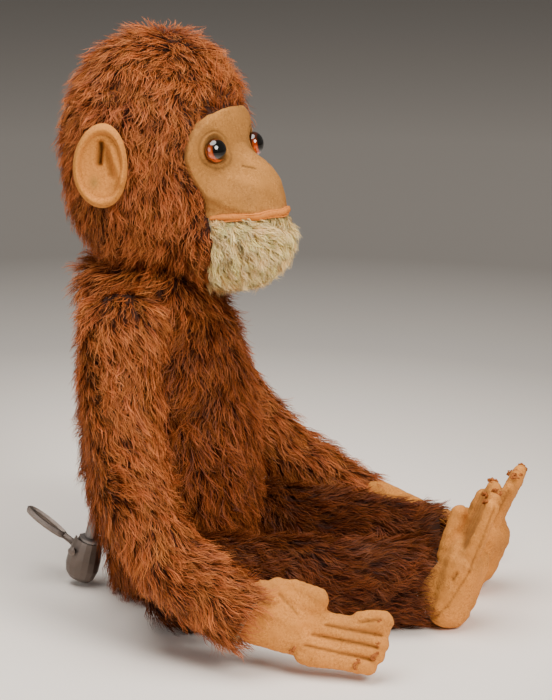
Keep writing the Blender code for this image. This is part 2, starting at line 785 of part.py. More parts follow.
def make_lever(frame):
    """The tail lever: one wire bent into a long eye outside the cup and a short toe inside it."""
    place = on_shaft(RIVET_BACK, RIVET_DOWN)
    pivot = empty("tail_pivot", place, frame)
    rear = on_shaft(1, 0)
    up = shaft_axis()
    side = Vector((1, 0, 0))
    rise = LEVER_RISE - AXIS_LEAN
    out = rear * math.cos(rise) + up * math.sin(rise)
    neck_run = 10.0 * MM
    eye_half = 2.9 * MM

    stem = [rear * (-4.6 * MM) + up * 0.2 * MM, rear * (-2.4 * MM), rear * 2.4 * MM]
    stem += [out * 6.0 * MM, out * neck_run]
    lever = tube("tail_lever", stem, LEVER_WIRE, "iron", pivot)
    turns = np.arange(18) * 2 * math.pi / 18
    middle = neck_run + (LEVER_LENGTH - neck_run) / 2
    half_run = (LEVER_LENGTH - neck_run) / 2
    loop = []
    for t in turns:
        narrow = 0.62 + 0.38 * math.cos(t)
        reach = out * (middle + half_run * math.cos(t))
        loop.append(reach + side * (eye_half * math.sin(t) * (0.75 + 0.25 * narrow)))
    join(lever, tube("lever_eye", loop, LEVER_WIRE, "iron", pivot, closed=True))
    hub = turned(
        "lever_hub", side * -1.45 * MM, side, ((2.6 * MM, 0.0), (2.6 * MM, 2.9 * MM)), "iron", pivot
    )
    join(lever, hub)
    radius = RIVET_RADIUS + 0.3 * MM
    ends = ((radius, 0.0), (radius, 24 * MM))
    bore = turned("lever_bore", side * -12 * MM, side, ends, "iron", pivot)
    cut(lever, bore)
    return pivot


def make_rivet(frame):
    reach = 7.3 * MM
    head = 1.9 * MM
    profile = (
        (head * 0.5, -reach - 0.9 * MM),
        (head, -reach - 0.3 * MM),
        (head, -reach),
        (RIVET_RADIUS, -reach),
        (RIVET_RADIUS, reach),
        (head, reach),
        (head, reach + 0.3 * MM),
        (head * 0.5, reach + 0.9 * MM),
    )
    place = on_shaft(RIVET_BACK, RIVET_DOWN)
    turned("tail_rivet", place, (1, 0, 0), profile, "iron", frame)


# ---- head --------------------------------------------------------------------------------------


def head_reach(direction):
    """Distance from the star point to the head's surface in a direction."""
    total = 0.0
    for centre, radii in HEAD_FORMS:
        start = (np.array(HEAD_STAR) - np.array(centre) * MM) / (np.array(radii) * MM)
        step = np.array(direction) / (np.array(radii) * MM)
        a = step @ step
        b = start @ step
        c = start @ start - 1
        inside = b * b - a * c
        if inside <= 0:
            continue
        reach = (-b + math.sqrt(inside)) / a
        if reach > 0:
            total += reach**HEAD_BLEND
    return total ** (1 / HEAD_BLEND)


def facing(sideways, up):
    """The direction at these angles from straight ahead."""
    flat = math.cos(up)
    return Vector((math.sin(sideways) * flat, -math.cos(sideways) * flat, math.sin(up)))


def on_head(sideways, up, proud=0.0):
    """A place on the head's surface, relative to the nodding pivot."""
    direction = facing(sideways, up)
    return HEAD_STAR + direction * (head_reach(direction) + proud) - nod_place()


def nod_place():
    """The nodding pivot before the head is turned."""
    return NECK + shaft_axis() * NOD_RISE


def head_rings(sink, rows=18, around=26):
    made = []
    for polar in np.linspace(HEAD_OPENING, math.radians(175), rows):
        up = polar - math.pi / 2
        turns = np.arange(around) * 2 * math.pi / around
        made.append([on_head(t, up, -sink) for t in turns])
    return made


def make_head(pivot):
    rings = head_rings(0.0)
    skin = mesh_object("head_skin", rings, "mohair", pivot)
    hollow = extended(head_rings(HEAD_SKIN)[::-1], 6 * MM)
    cut(skin, mesh_object("head_hollow", hollow, "mohair", pivot))
    stuffing = mesh_object("head_stuffing", head_rings(HEAD_SKIN + 2.2 * MM), "straw", pivot)
    cut(stuffing, neck_room(pivot))
    make_rocker(pivot)
    make_face(pivot, skin, stuffing)
    for side in ("right", "left"):
        make_ear(side, pivot)


def neck_room(pivot):
    """Room in the head's stuffing for the fork, its pin and the rocker."""
    profile = ((13.0 * MM, -30 * MM), (13.0 * MM, 6 * MM), (9.5 * MM, 10.5 * MM))
    return turned("neck_room", (0, 0, 0), shaft_axis(), profile, "straw", pivot, 18)


def make_rocker(pivot):
    """The plate in the head that hangs on the pin, with the lug that the rod lifts."""
    half = 4.6 * MM
    profile = ((2.6 * MM, -half), (2.6 * MM, half))
    rocker = turned("head_rocker", (0, 0, 0), (1, 0, 0), profile, "steel", pivot)
    axis = shaft_axis()
    rear = on_shaft(1, 0)

    def slab(name, corners, low, high):
        rings = [
            [Vector((x, 0, 0)) + rear * back + axis * up for x, back in corners]
            for up in (low, high)
        ]
        join(rocker, mesh_object(name, rings, "steel", pivot))

    wide = 3.6 * MM
    lug = ((-wide, 0.0), (wide, 0.0), (wide, 8.5 * MM), (-wide, 8.5 * MM))
    slab("rocker_lug", lug, -0.9 * MM, 0.7 * MM)
    post = ((-wide, -1.2 * MM), (wide, -1.2 * MM), (wide, 1.2 * MM), (-wide, 1.2 * MM))
    slab("rocker_post", post, 1.0 * MM, 6.6 * MM)
    plate = ((-8 * MM, -8 * MM), (8 * MM, -8 * MM), (8 * MM, 8 * MM), (-8 * MM, 8 * MM))
    slab("rocker_plate", plate, 6.0 * MM, 7.6 * MM)
    ends = ((1.35 * MM, -12 * MM), (1.35 * MM, 12 * MM))
    cut(rocker, turned("rocker_bore", (0, 0, 0), (1, 0, 0), ends, "steel", pivot))


def patch(name, outline, low, high, finish, pivot, size=1.0):
    """A thin patch on the head: outline gives the angles at a turn and a share of its size."""
    turns = np.arange(PATCH_AROUND) * 2 * math.pi / PATCH_AROUND
    shares = np.linspace(0.08, size, 5)
    top = [[on_head(*outline(t, s), high) for t in turns] for s in shares]
    under = [[on_head(*outline(t, s), low) for t in turns] for s in shares[::-1]]
    return mesh_object(name, top + under, finish, pivot)


def mask_outline(turn, share):
    """The felt mask: an arch over the brows, straight along the lip."""
    across = math.cos(turn)
    rise = math.sin(turn)
    sideways = MASK_HALF_WIDTH * math.copysign(abs(across) ** 0.75, across)
    up = MASK_HALF_HEIGHT * math.copysign(abs(rise) ** 0.85, rise)
    if rise > 0:
        sideways *= 1 - 0.35 * rise**3
    return sideways * share, MASK_CENTRE + up * share


def chin_outline(turn, share):
    """The white chin: straight along the lip, round below."""
    across = math.cos(turn)
    rise = math.sin(turn)
    up = CHIN_HALF_HEIGHT * math.copysign(abs(rise) ** 0.8, rise)
    sideways = CHIN_HALF_WIDTH * math.copysign(abs(across) ** 0.8, across)
    return sideways * share, CHIN_CENTRE + up * share


def make_face(pivot, skin, stuffing):
    high = PATCH_LOW + FELT
    mask = patch("face_felt", mask_outline, PATCH_LOW, high, "felt", pivot)
    cut(skin, patch("mask_bed", mask_outline, -BED, 4 * MM, "felt", pivot, 1.06))
    patch("chin_patch", chin_outline, PATCH_LOW, high, "white_mohair", pivot)
    cut(skin, patch("chin_bed", chin_outline, -BED, 4 * MM, "felt", pivot, 1.06))
    lip = [
        on_head(side, LIP_ANGLE, LIP_RADIUS)
        for side in np.linspace(-LIP_HALF_WIDTH, LIP_HALF_WIDTH, 13)
    ]
    tube("lip_piping", lip, LIP_RADIUS, "piping", pivot)
    cut(skin, tube("lip_bed", lip, LIP_RADIUS + BED, "piping", pivot))
    for side, sign in (("right", -1), ("left", 1)):
        make_eye(side, sign, pivot, (mask, skin, stuffing))


def make_eye(side, sign, pivot, holed):
    """A blown glass eye with its wire shank, pushed through the mask and the skin."""
    place = on_head(sign * EYE_AZIMUTH, EYE_RISE)
    out = facing(sign * EYE_AZIMUTH * 0.55, EYE_RISE * 0.4).normalized()
    base = 2.4 * MM
    turns = [math.radians(a) for a in (0, 22, 44, 64, 82)]
    dome = 4.4 * MM
    profile = [(EYE_RADIUS * 0.55, base - 1.0 * MM), (EYE_RADIUS * 0.94, base)]
    profile += [(EYE_RADIUS * math.cos(t), base + 1 * MM + dome * math.sin(t)) for t in turns]
    name = side + "_eye"
    eye = turned(name, place, out, profile, "glass", pivot, 16)
    shank_hole = ((1.3 * MM, base - 3 * MM), (1.3 * MM, base + 1.2 * MM))
    cut(eye, turned(name + "_socket", place, out, shank_hole, "glass", pivot, 10))
    wire = [out * (base + 0.9 * MM), out * (-3 * MM), out * (-6 * MM)]
    shank = tube(name + "_shank", [place + w for w in wire], 0.7 * MM, "steel", pivot, 8)
    across = out.cross(Vector((0, 0, 1))).normalized()
    loop = [
        place + out * (-8 * MM + 1.9 * MM * math.sin(t)) + across * (1.9 * MM * math.cos(t))
        for t in np.arange(10) * math.pi / 5
    ]
    join(shank, tube(name + "_shank_loop", loop, 0.6 * MM, "steel", pivot, 6, True))
    well = (EYE_RADIUS + 0.5 * MM, base - 1.4 * MM), (EYE_RADIUS + 0.5 * MM, base + 12 * MM)
    stem = (2.0 * MM, -8 * MM), (2.0 * MM, base + 4 * MM)
    room = (3.4 * MM, -11.5 * MM), (3.4 * MM, -3.2 * MM)
    mask, skin, stuffing = holed
    for target, profile, part in (
        (mask, well, "mask_well"),
        (mask, stem, "mask_stem"),
        (skin, stem, "skin_stem"),
        (skin, well, "skin_well"),
        (stuffing, stem, "stuffing_stem"),
        (stuffing, room, "stuffing_room"),
    ):
        cut(target, turned(f"{side}_{part}", place, out, profile, "glass", pivot, 12))


def make_ear(side, pivot):
    """A dished oval of two felt layers, standing off the side of the head."""
    sign = -1 if side == "right" else 1
    middle = Vector((sign * EAR_CENTRE.x, EAR_CENTRE.y, EAR_CENTRE.z)) - nod_place()
    out = Vector((sign * math.cos(EAR_FLARE), -math.sin(EAR_FLARE), 0))
    back = Vector((sign * math.sin(EAR_FLARE), math.cos(EAR_FLARE), 0))
    up = Vector((0, 0, 1))
    dish = 3.0 * MM
    thick = 2.2 * MM

    def layer(share, lift):
        sag = dish * (1 - share**2)
        centre = middle + out * (lift - sag)
        return ring(centre, back, up, EAR_HALF[0] * share, EAR_HALF[1] * share, 18)

    shares = (0.12, 0.45, 0.75, 0.94, 1.0)
    front = [layer(s, thick * (1 if s < 1 else 0.75)) for s in shares]
    rear = [layer(s, 0.0 if s < 1 else thick * 0.25) for s in shares[::-1]]
    mesh_object(side + "_ear", front + rear, "felt", pivot)


# ---- assembly ----------------------------------------------------------------------------------


def main():
    clear_scene()
    shoulders = {side: shoulder_joint(side) for side in ("right", "left")}
    hips = {side: hip_joint(side) for side in ("right", "left")}
    bpy.context.view_layer.update()
    make_torso([*shoulders.values(), *hips.values()])
    for side in ("right", "left"):
        arm = make_limb(side, "arm", shoulders[side])
        make_hand(side, arm, shoulders[side].pivot)
        leg = make_limb(side, "leg", hips[side])
        make_foot(side, leg, hips[side].pivot)
    turning = empty("turning_group", NECK, None, turning_matrix())
    make_shaft(turning)
    make_lever(turning)
    make_rivet(turning)
    head = empty("head_pivot", shaft_axis() * NOD_RISE, turning)
    make_head(head)


main()
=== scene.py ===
"""Looks for the seated mohair monkey: pile, felt, glass and worn tin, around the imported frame.

Metres, in the frame's own axes: +Z up, the monkey faces -Y. Every pelt is a smooth base with real
strands of pile on it, and each rides on the body of the CAD skin that it replaces.
"""

import json
import math

import bmesh
import bpy
import numpy as np
from mathutils import Matrix, Vector, kdtree
from mathutils.bvhtree import BVHTree

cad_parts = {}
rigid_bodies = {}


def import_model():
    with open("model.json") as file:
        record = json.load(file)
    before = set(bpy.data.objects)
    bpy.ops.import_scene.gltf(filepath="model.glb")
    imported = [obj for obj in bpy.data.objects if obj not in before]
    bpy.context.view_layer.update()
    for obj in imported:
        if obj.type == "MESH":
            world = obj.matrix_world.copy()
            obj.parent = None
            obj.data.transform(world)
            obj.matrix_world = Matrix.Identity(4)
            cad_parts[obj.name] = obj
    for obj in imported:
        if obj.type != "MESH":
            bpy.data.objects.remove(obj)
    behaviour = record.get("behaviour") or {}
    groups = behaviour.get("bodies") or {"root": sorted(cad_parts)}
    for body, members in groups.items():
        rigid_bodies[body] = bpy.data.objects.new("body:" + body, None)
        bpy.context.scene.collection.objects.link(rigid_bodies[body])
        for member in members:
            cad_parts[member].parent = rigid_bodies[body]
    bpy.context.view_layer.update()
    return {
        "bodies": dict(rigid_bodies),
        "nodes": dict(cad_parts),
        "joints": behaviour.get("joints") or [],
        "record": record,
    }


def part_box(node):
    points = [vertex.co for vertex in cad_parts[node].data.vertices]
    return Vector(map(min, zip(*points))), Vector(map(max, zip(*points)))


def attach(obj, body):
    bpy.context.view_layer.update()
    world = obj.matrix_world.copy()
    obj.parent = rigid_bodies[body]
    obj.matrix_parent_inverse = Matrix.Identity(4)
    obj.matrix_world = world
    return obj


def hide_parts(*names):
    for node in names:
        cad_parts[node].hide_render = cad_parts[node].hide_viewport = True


MM = 0.001
SEED = 20240611

# Camera: the photograph's viewing angle
CAMERA_AZIMUTH = math.radians(-80)
CAMERA_ELEVATION = math.radians(16)
CAMERA_DISTANCE = 1.2
CAMERA_TARGET = Vector((-0.0204, -0.052, 0.12))
SENSOR_HEIGHT = 24
CAMERA_LENS = 96.8

# Pile
PILE_DENSITY = 1.5  # strands in a square millimetre
STRAND_STEPS = 5  # points along a strand
LOCK_SPACING = 2.6 * MM
BASE_DEPTH = 1.1 * MM  # how far the pelt's base lies inside the CAD skin
FLOOR_CLEAR = 0.2 * MM
MOST_STRANDS = 24000  # in one piece, so that the export keeps all of them

# Where the random draws of each piece start, counted from SEED
PILE_SEEDS = {
    "torso": 10, "neck": 60, "right_arm": 100, "left_arm": 160,
    "right_leg": 220, "left_leg": 280, "head": 340, "chin": 420,
}
FRAY_SEEDS = {"right_hand": 500, "left_hand": 510, "right_foot": 520, "left_foot": 530}

# Pile colours, linear: at the root, in the middle and at the tip; the dark root is painted shade deep in
# the pile, the light tip a painted highlight
COAT = ((0.045, 0.007, 0.001), (0.3, 0.068, 0.012), (0.64, 0.2, 0.052))
# Darker copies of the coat for the torso and the legs: painted shade
COAT_TORSO_SHADED = ((0.025, 0.004, 0.001), (0.19, 0.038, 0.006), (0.44, 0.122, 0.028))
COAT_LEGS_SHADED = ((0.014, 0.002, 0.001), (0.09, 0.017, 0.003), (0.235, 0.062, 0.013))
CREAM = ((0.46, 0.28, 0.08), (0.88, 0.65, 0.25), (1, 0.82, 0.4))

BLACK = (0, 0, 0)
WHITE = (1, 1, 1)
MIX_INPUTS = (0, 6, 7)  # a Mix node's sockets for colours: the factor, the first and the second
MIX_OUTPUT = 2
SIDES = {"right": 1, "left": -1}  # and the sign that turns a limb's joint axis outward
MATERIALS = {}  # filled by make_materials


# ---- nodes and materials ----


def set_inputs(node, inputs):
    for name, value in inputs.items():
        node.inputs[name].default_value = value


class Shader:
    """A material with a Principled shader, and short ways to add nodes to it."""

    def __init__(self, name, roughness, metallic=0, inputs=None):
        self.material = bpy.data.materials.new(name)
        self.material.use_nodes = True
        self.tree = self.material.node_tree
        self.shader = self.tree.nodes["Principled BSDF"]
        set_inputs(self.shader, {"Roughness": roughness, "Metallic": metallic, **(inputs or {})})
        self.place = self.node("ShaderNodeTexCoord").outputs["Object"]

    def node(self, kind, **settings):
        made = self.tree.nodes.new(kind)
        for key, value in settings.items():
            setattr(made, key, value)
        return made

    def link(self, output, target):
        self.tree.links.new(output, target)

    def noise(self, scale, detail=4, roughness=0.6, distortion=0):
        made = self.node("ShaderNodeTexNoise")
        set_inputs(made, {"Scale": scale, "Detail": detail})
        set_inputs(made, {"Roughness": roughness, "Distortion": distortion})
        self.link(self.place, made.inputs["Vector"])
        return made.outputs["Fac"]

    def ramp(self, factor, stops):
        made = self.node("ShaderNodeValToRGB")
        ramp = made.color_ramp
        for at, _ in stops[2:]:
            ramp.elements.new(at)
        for element, (at, colour) in zip(ramp.elements, stops):
            element.position = at
            element.color = (*colour, 1)
        self.link(factor, made.inputs["Fac"])
        return made.outputs["Color"]

    def mix(self, factor, first, second, blend="MIX"):
        made = self.node("ShaderNodeMix", data_type="RGBA", blend_type=blend)
        for k, value in zip(MIX_INPUTS, (factor, first, second)):
            socket = made.inputs[k]
            if hasattr(value, "is_output"):
                self.link(value, socket)
            elif isinstance(value, tuple):
                socket.default_value = (*value, 1)
            else:
                socket.default_value = value
        return made.outputs[MIX_OUTPUT]

    def attribute(self, name):
        return self.node("ShaderNodeAttribute", attribute_name=name)

    def colour(self, output):
        self.link(output, self.shader.inputs["Base Color"])

    def bump(self, height, strength, distance):
        made = self.node("ShaderNodeBump")
        set_inputs(made, {"Strength": strength, "Distance": distance})
        self.link(height, made.inputs["Height"])
        self.link(made.outputs["Normal"], self.shader.inputs["Normal"])


def pile_material():
    """Strands: colour from the mesh, a soft shine."""
    made = Shader("pile", 0.5, inputs={"Specular IOR Level": 0.18})
    made.colour(made.attribute("pile").outputs["Color"])
    return made.material


def grained(name, roughness, noise, stops, strength, distance):
    """A plain material whose one grain colours it and roughens it."""
    made = Shader(name, roughness)
    grain = made.noise(*noise)
    made.colour(made.ramp(grain, stops))
    made.bump(grain, strength, distance)
    return made.material


def pelt_material(name, dark, light):
    """The woven backing with its short under-pile, seen between the strands, in the pile's root colours:
    painted shade.
    """
    return grained(name, 0.95, (900, 6, 0.7), ((0.3, dark), (0.75, light)), 0.6, 0.0006)


def felt_material(name, light, middle, dark, soil):
    """Wool felt: matted fibres, faint mottling and soiled places."""
    made = Shader(name, 0.95, inputs={"Specular IOR Level": 0.2})
    fibre = made.noise(950, 8, 0.8, 0.6)
    mottle = made.noise(160, 5, 0.6)
    patches = made.noise(38, 3, 0.5)
    base = made.ramp(fibre, ((0.32, dark), (0.5, middle), (0.7, light)))
    worn = made.mix(made.ramp(mottle, ((0.35, BLACK), (0.75, WHITE))), base, middle)
    dirty = made.mix(made.ramp(patches, ((0.56, BLACK), (0.78, (0.55,) * 3))), worn, soil)
    # The shade attribute: painted shade in creases and hollows, and random tone, multiplied in
    shade = made.attribute("shade").outputs["Color"]
    made.colour(made.mix(1, dirty, shade, "MULTIPLY"))
    made.bump(fibre, 0.5, 0.0004)
    return made.material


def glass_material():
    """A blown eye: a wide black pupil, amber round it with a painted glow of light low down, behind clear
    glass.
    """
    made = Shader("eye_glass", 0.04, inputs={"Coat Weight": 1, "Coat Roughness": 0.02})
    streaks = made.noise(700, 3, 0.5)
    amber = made.ramp(streaks, ((0.3, (0.45, 0.04, 0.003)), (0.7, (0.95, 0.15, 0.01))))
    parts = made.node("ShaderNodeSeparateColor")
    made.link(made.attribute("rim").outputs["Color"], parts.inputs["Color"])
    stops = ((0.76, BLACK), (0.86, WHITE), (0.97, WHITE), (1, (0.1,) * 3))
    ring = made.ramp(parts.outputs["Red"], stops)
    # Painted light: the amber is bright low on one side and nearly black elsewhere
    painted_glow = made.ramp(parts.outputs["Green"], ((0.45, (0.06,) * 3), (0.95, WHITE)))
    lit = made.mix(painted_glow, (0.012, 0.003, 0.001), amber)
    made.colour(made.mix(ring, (0.003, 0.002, 0.001), lit))
    return made.material


def tin_material(name, dark, worn, gloss):
    """Browned sheet tin: rust-brown bloom, bright where hands have rubbed its edges."""
    made = Shader(name, gloss, 0.7)
    bloom = made.noise(260, 6, 0.65)
    scratches = made.noise(1300, 5, 0.8, 1.5)
    edge = made.node("ShaderNodeNewGeometry").outputs["Pointiness"]
    rubbed = made.ramp(edge, ((0.5, BLACK), (0.6, WHITE)))
    base = made.ramp(bloom, ((0.3, dark), (0.62, tuple(2.1 * v for v in dark)), (0.8, worn)))
    made.colour(made.mix(rubbed, base, worn))
    rough = made.node("ShaderNodeMapRange")
    set_inputs(rough, {"To Min": gloss - 0.12, "To Max": gloss + 0.22})
    made.link(bloom, rough.inputs["Value"])
    made.link(rough.outputs["Result"], made.shader.inputs["Roughness"])
    made.bump(scratches, 0.25, 0.0002)
    return made.material


def floor_material():
    """Paper that falls into shade with the distance from the middle, in metres."""
    made = Shader("floor_paper", 0.6)
    away = made.node("ShaderNodeVectorMath", operation="LENGTH")
    made.link(made.place, away.inputs[0])
    stops = (
        (0.18, (0.96, 0.87, 0.78)), (0.4, (0.42, 0.385, 0.35)),
        (0.62, (0.215, 0.195, 0.175)), (1, (0.33, 0.3, 0.27)),
    )
    made.colour(made.ramp(away.outputs["Value"], stops))
    return made.material


# ---- meshes ----


def new_object(name, mesh, finish):
    obj = bpy.data.objects.new(name, mesh)
    bpy.context.scene.collection.objects.link(obj)
    mesh.materials.clear()
    mesh.materials.append(MATERIALS[finish])
    mesh.shade_smooth()
    return obj


def settled(obj, body, slot, *nodes):
    """Says what body the piece rides on and the CAD nodes that it replaces; the slot is not used."""
    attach(obj, body)
    for node in nodes:
        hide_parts(node)


def mesh_of(name, points, faces):
    mesh = bpy.data.meshes.new(name)
    mesh.from_pydata([tuple(p) for p in points], [], [tuple(f) for f in faces])
    mesh.update()
    return mesh


def grid_faces(rows, columns, wrap):
    """Quads between rows of points, columns in each; wrap joins the last column to the first."""
    made = []
    for i in range(rows - 1):
        for j in range(columns if wrap else columns - 1):
            k = (j + 1) % columns
            low, high = i * columns, (i + 1) * columns
            made.append((low + j, low + k, high + k, high + j))
    return made


def closed_faces(rows, columns):
    """A wrapped grid's faces with one more over each end."""
    last = (rows - 1) * columns
    ends = [tuple(range(columns))[::-1], tuple(last + i for i in range(columns))]
    return grid_faces(rows, columns, True) + ends


def turns_of(count):
    """Angles evenly round a circle."""
    return np.arange(count) * math.tau / count


def tube_mesh(name, points, radius, sides=12):
    """A round bar along points, with a radius for each, closed at both ends."""
    points = np.array(points, float)
    radius = np.broadcast_to(radius, len(points))
    along = np.gradient(points, axis=0)
    along /= np.linalg.norm(along, axis=1)[:, None]
    side = np.array(Vector(along[0]).orthogonal().normalized())
    rings = []
    for point, way, r in zip(points, along, radius):
        side = side - way * (side @ way)
        side /= np.linalg.norm(side)
        up = np.cross(way, side)
        for turn in turns_of(sides):
            rings.append(point + r * (side * math.cos(turn) + up * math.sin(turn)))
    return mesh_of(name, rings, closed_faces(len(points), sides))


def baked(obj):
    """Applies the object's modifiers."""
    bpy.context.view_layer.update()
    graph = bpy.context.evaluated_depsgraph_get()
    mesh = bpy.data.meshes.new_from_object(obj.evaluated_get(graph))
    old = obj.data
    obj.modifiers.clear()
    obj.data = mesh
    bpy.data.meshes.remove(old)


def remeshed(name, mesh, voxel, rounds, finish, inward=0):
    """One even skin round a mesh of overlapping or rough shapes, smoothed and moved inward."""
    obj = new_object(name, mesh, finish)
    remesh = obj.modifiers.new("remesh", "REMESH")
    remesh.mode = "VOXEL"
    remesh.voxel_size = voxel
    ease = obj.modifiers.new("ease", "SMOOTH")
    ease.factor = 0.5
    ease.iterations = rounds
    baked(obj)
    if inward:
        points, normals = points_and_normals(obj.data)
        set_points(obj.data, points - normals * inward)
    obj.data.shade_smooth()
    return obj


def points_and_normals(mesh):
    count = len(mesh.vertices)
    points = np.empty(count * 3, np.float32)
    normals = np.empty(count * 3, np.float32)
    mesh.vertices.foreach_get("co", points)
    mesh.vertex_normals.foreach_get("vector", normals)
    return points.reshape(-1, 3).astype(float), normals.reshape(-1, 3).astype(float)


def set_points(mesh, points):
    mesh.vertices.foreach_set("co", np.asarray(points, np.float32).ravel())
    mesh.update()


def set_colours(mesh, name, colours):
    attribute = mesh.color_attributes.new(name, "FLOAT_COLOR", "POINT")
    full = np.ones((len(mesh.vertices), 4), np.float32)
    full[:, :3] = colours
    attribute.data.foreach_set("color", full.ravel())


def set_shade(mesh, shade):
    """Greys that darken a felt, one for each point: painted shade, and a random tone."""
    set_colours(mesh, "shade", np.reshape(shade, (-1, 1)))


def joined(name, meshes):
    """One mesh of several."""
    made = bmesh.new()
    for mesh in meshes:
        made.from_mesh(mesh)
    result = bpy.data.meshes.new(name)
    made.to_mesh(result)
    made.free()
    return result


def outer_surface(node, core, depth):
    """The outside of a hollow CAD skin: its faces that lie further than depth from what fills it."""
    made = bmesh.new()
    made.from_mesh(node.data)
    bmesh.ops.remove_doubles(made, verts=made.verts, dist=0.01 * MM)
    inside = BVHTree.FromPolygons(
        [v.co for v in core.data.vertices], [tuple(p.vertices) for p in core.data.polygons]
    )
    near = {v for v in made.verts if inside.find_nearest(v.co)[3] < depth}
    gone = [f for f in made.faces if any(v in near for v in f.verts)]
    bmesh.ops.delete(made, geom=gone, context="FACES")
    bmesh.ops.delete(made, geom=[v for v in made.verts if not v.link_faces], context="VERTS")
    bmesh.ops.holes_fill(made, edges=[e for e in made.edges if e.is_boundary], sides=0)
    bmesh.ops.recalc_face_normals(made, faces=made.faces)
    mesh = bpy.data.meshes.new(node.name + "_outside")
    made.to_mesh(mesh)
    made.free()
    return mesh


# ---- the head's own frame and shape ----


def joint_named(joints, name):
    return next(j for j in joints if j["name"] == name)


class HeadFrame:
    """The head as sewn, before it was turned: x to its left, -y forward, and where it stands now."""

    def __init__(self, joints):
        turn = joint_named(joints, "head_turn")
        nod = joint_named(joints, "head_nod")
        self.neck = np.array(turn["pos_m"])
        axis = Vector(turn["axis"]).normalized()
        flat = Vector((1, 0, 0))
        now = Vector(nod["axis"]).normalized()
        angle = math.atan2(axis.dot(flat.cross(now)), flat.dot(now))
        self.turn = np.array(Matrix.Rotation(angle, 3, axis))

    def to_scene(self, points):
        return (np.asarray(points) - self.neck) @ self.turn.T + self.neck

    def to_sewn(self, points):
        return (np.asarray(points) - self.neck) @ self.turn + self.neck

    def turned(self, directions):
        return np.asarray(directions) @ self.turn.T


class HeadShape:
    """Distance from a star point to the head's surface for any direction, read from the frame."""

    WIDE = 240
    TALL = 120
    NEAREST = 18 * MM
    FURTHEST = 90 * MM
    STAR_OVER_CHIN = 41 * MM

    def __init__(self, nodes, place):
        self.place = place
        points = []
        faces = []
        for name in ("head_skin", "face_felt", "chin_patch"):
            mesh = nodes[name].data
            start = len(points)
            points += [tuple(place.to_sewn(np.array(v.co))) for v in mesh.vertices]
            faces += [tuple(start + i for i in p.vertices) for p in mesh.polygons]
        cloud = np.array(points)
        self.star = np.array([0, -2 * MM, cloud[:, 2].min() + self.STAR_OVER_CHIN])
        surface = BVHTree.FromPolygons(points, faces)
        azimuths = np.linspace(-math.pi, math.pi, self.WIDE, endpoint=False)
        rises = np.linspace(-math.pi / 2, math.pi / 2, self.TALL)
        table = np.full((self.TALL, self.WIDE), np.nan)
        for i, rise in enumerate(rises):
            for j, azimuth in enumerate(azimuths):
                way = facing(azimuth, rise)
                start = Vector(self.star + way * self.FURTHEST)
                hit = surface.ray_cast(start, Vector(-way), self.FURTHEST - self.NEAREST)
                if hit[3] is not None:
                    table[i, j] = self.FURTHEST - hit[3]
        self.table = smoothed(filled(table), 3)

    def reach(self, azimuth, rise):
        """Bilinear look-up; the angles may be arrays."""
        column = (np.asarray(azimuth) + math.pi) / (2 * math.pi) * self.WIDE
        row = (np.asarray(rise) + math.pi / 2) / math.pi * (self.TALL - 1)
        j = np.floor(column).astype(int)
        i = np.clip(np.floor(row).astype(int), 0, self.TALL - 2)
        u = column - j
        v = np.clip(row - i, 0, 1)
        left, right = j % self.WIDE, (j + 1) % self.WIDE
        low = self.table[i, left] * (1 - u) + self.table[i, right] * u
        high = self.table[i + 1, left] * (1 - u) + self.table[i + 1, right] * u
        return low * (1 - v) + high * v

    def sewn_point(self, azimuth, rise, proud=0):
        way = facing(azimuth, rise)
        return self.star + way * (self.reach(azimuth, rise) + proud)[..., None]

    def angles(self, points):
        """Azimuth and rise of places given in the scene."""
        way = self.place.to_sewn(points) - self.star
        flat = np.hypot(way[:, 0], way[:, 1])
        return np.arctan2(way[:, 0], -way[:, 1]), np.arctan2(way[:, 2], flat)


def facing(azimuth, rise):
    """Unit vectors at angles sideways from straight ahead (-y) and up."""
    azimuth, rise = np.broadcast_arrays(azimuth, rise)
    flat = np.cos(rise)
    return np.stack([np.sin(azimuth) * flat, -np.cos(azimuth) * flat, np.sin(rise)], axis=-1)


def filled(table, rounds=400):
    """A table whose gaps take the mean of their neighbours, from the edge of the gap inward."""
    gaps = np.isnan(table)
    values = np.where(gaps, np.nanmean(table), table)
    for _ in range(rounds):
        values = np.where(gaps, neighbours(values), values)
    return values


def neighbours(values):
    up = np.vstack([values[1:], values[-1:]])
    down = np.vstack([values[:1], values[:-1]])
    return (np.roll(values, 1, 1) + np.roll(values, -1, 1) + up + down) / 4


def smoothed(values, rounds):
    for _ in range(rounds):
        values = 0.5 * values + 0.5 * neighbours(values)
    return values


# ---- pile ----


def scattered(mesh, density, rng):
    """Places and normals spread evenly over a mesh: density is in places to a square millimetre."""
    mesh.calc_loop_triangles()
    points, normals = points_and_normals(mesh)
    index = np.empty(len(mesh.loop_triangles) * 3, np.int32)
    mesh.loop_triangles.foreach_get("vertices", index)
    corners = index.reshape(-1, 3)
    a, b, c = (points[corners[:, k]] for k in range(3))
    area = np.linalg.norm(np.cross(b - a, c - a), axis=1) / 2
    count = int(area.sum() / MM**2 * density)
    pick = rng.choice(len(area), count, p=area / area.sum())
    u, v = rng.random((2, count))
    fold = u + v > 1
    u[fold], v[fold] = 1 - u[fold], 1 - v[fold]
    w = 1 - u - v
    place = a[pick] * w[:, None] + b[pick] * u[:, None] + c[pick] * v[:, None]
    n = [normals[corners[pick, k]] for k in range(3)]
    normal = n[0] * w[:, None] + n[1] * u[:, None] + n[2] * v[:, None]
    return place, normal / np.linalg.norm(normal, axis=1)[:, None]


def unit(vectors):
    return vectors / np.maximum(np.linalg.norm(vectors, axis=-1, keepdims=True), 1e-12)


def swirl(points, scale, seed):
    """A smooth field of values near -1..1 at points, different for each seed."""
    rng = np.random.default_rng(seed)
    total = np.zeros(len(points))
    for _ in range(5):
        wave = rng.normal(size=3) * scale
        total += np.sin(points @ wave + rng.random() * 2 * math.pi)
    return total / 2.5


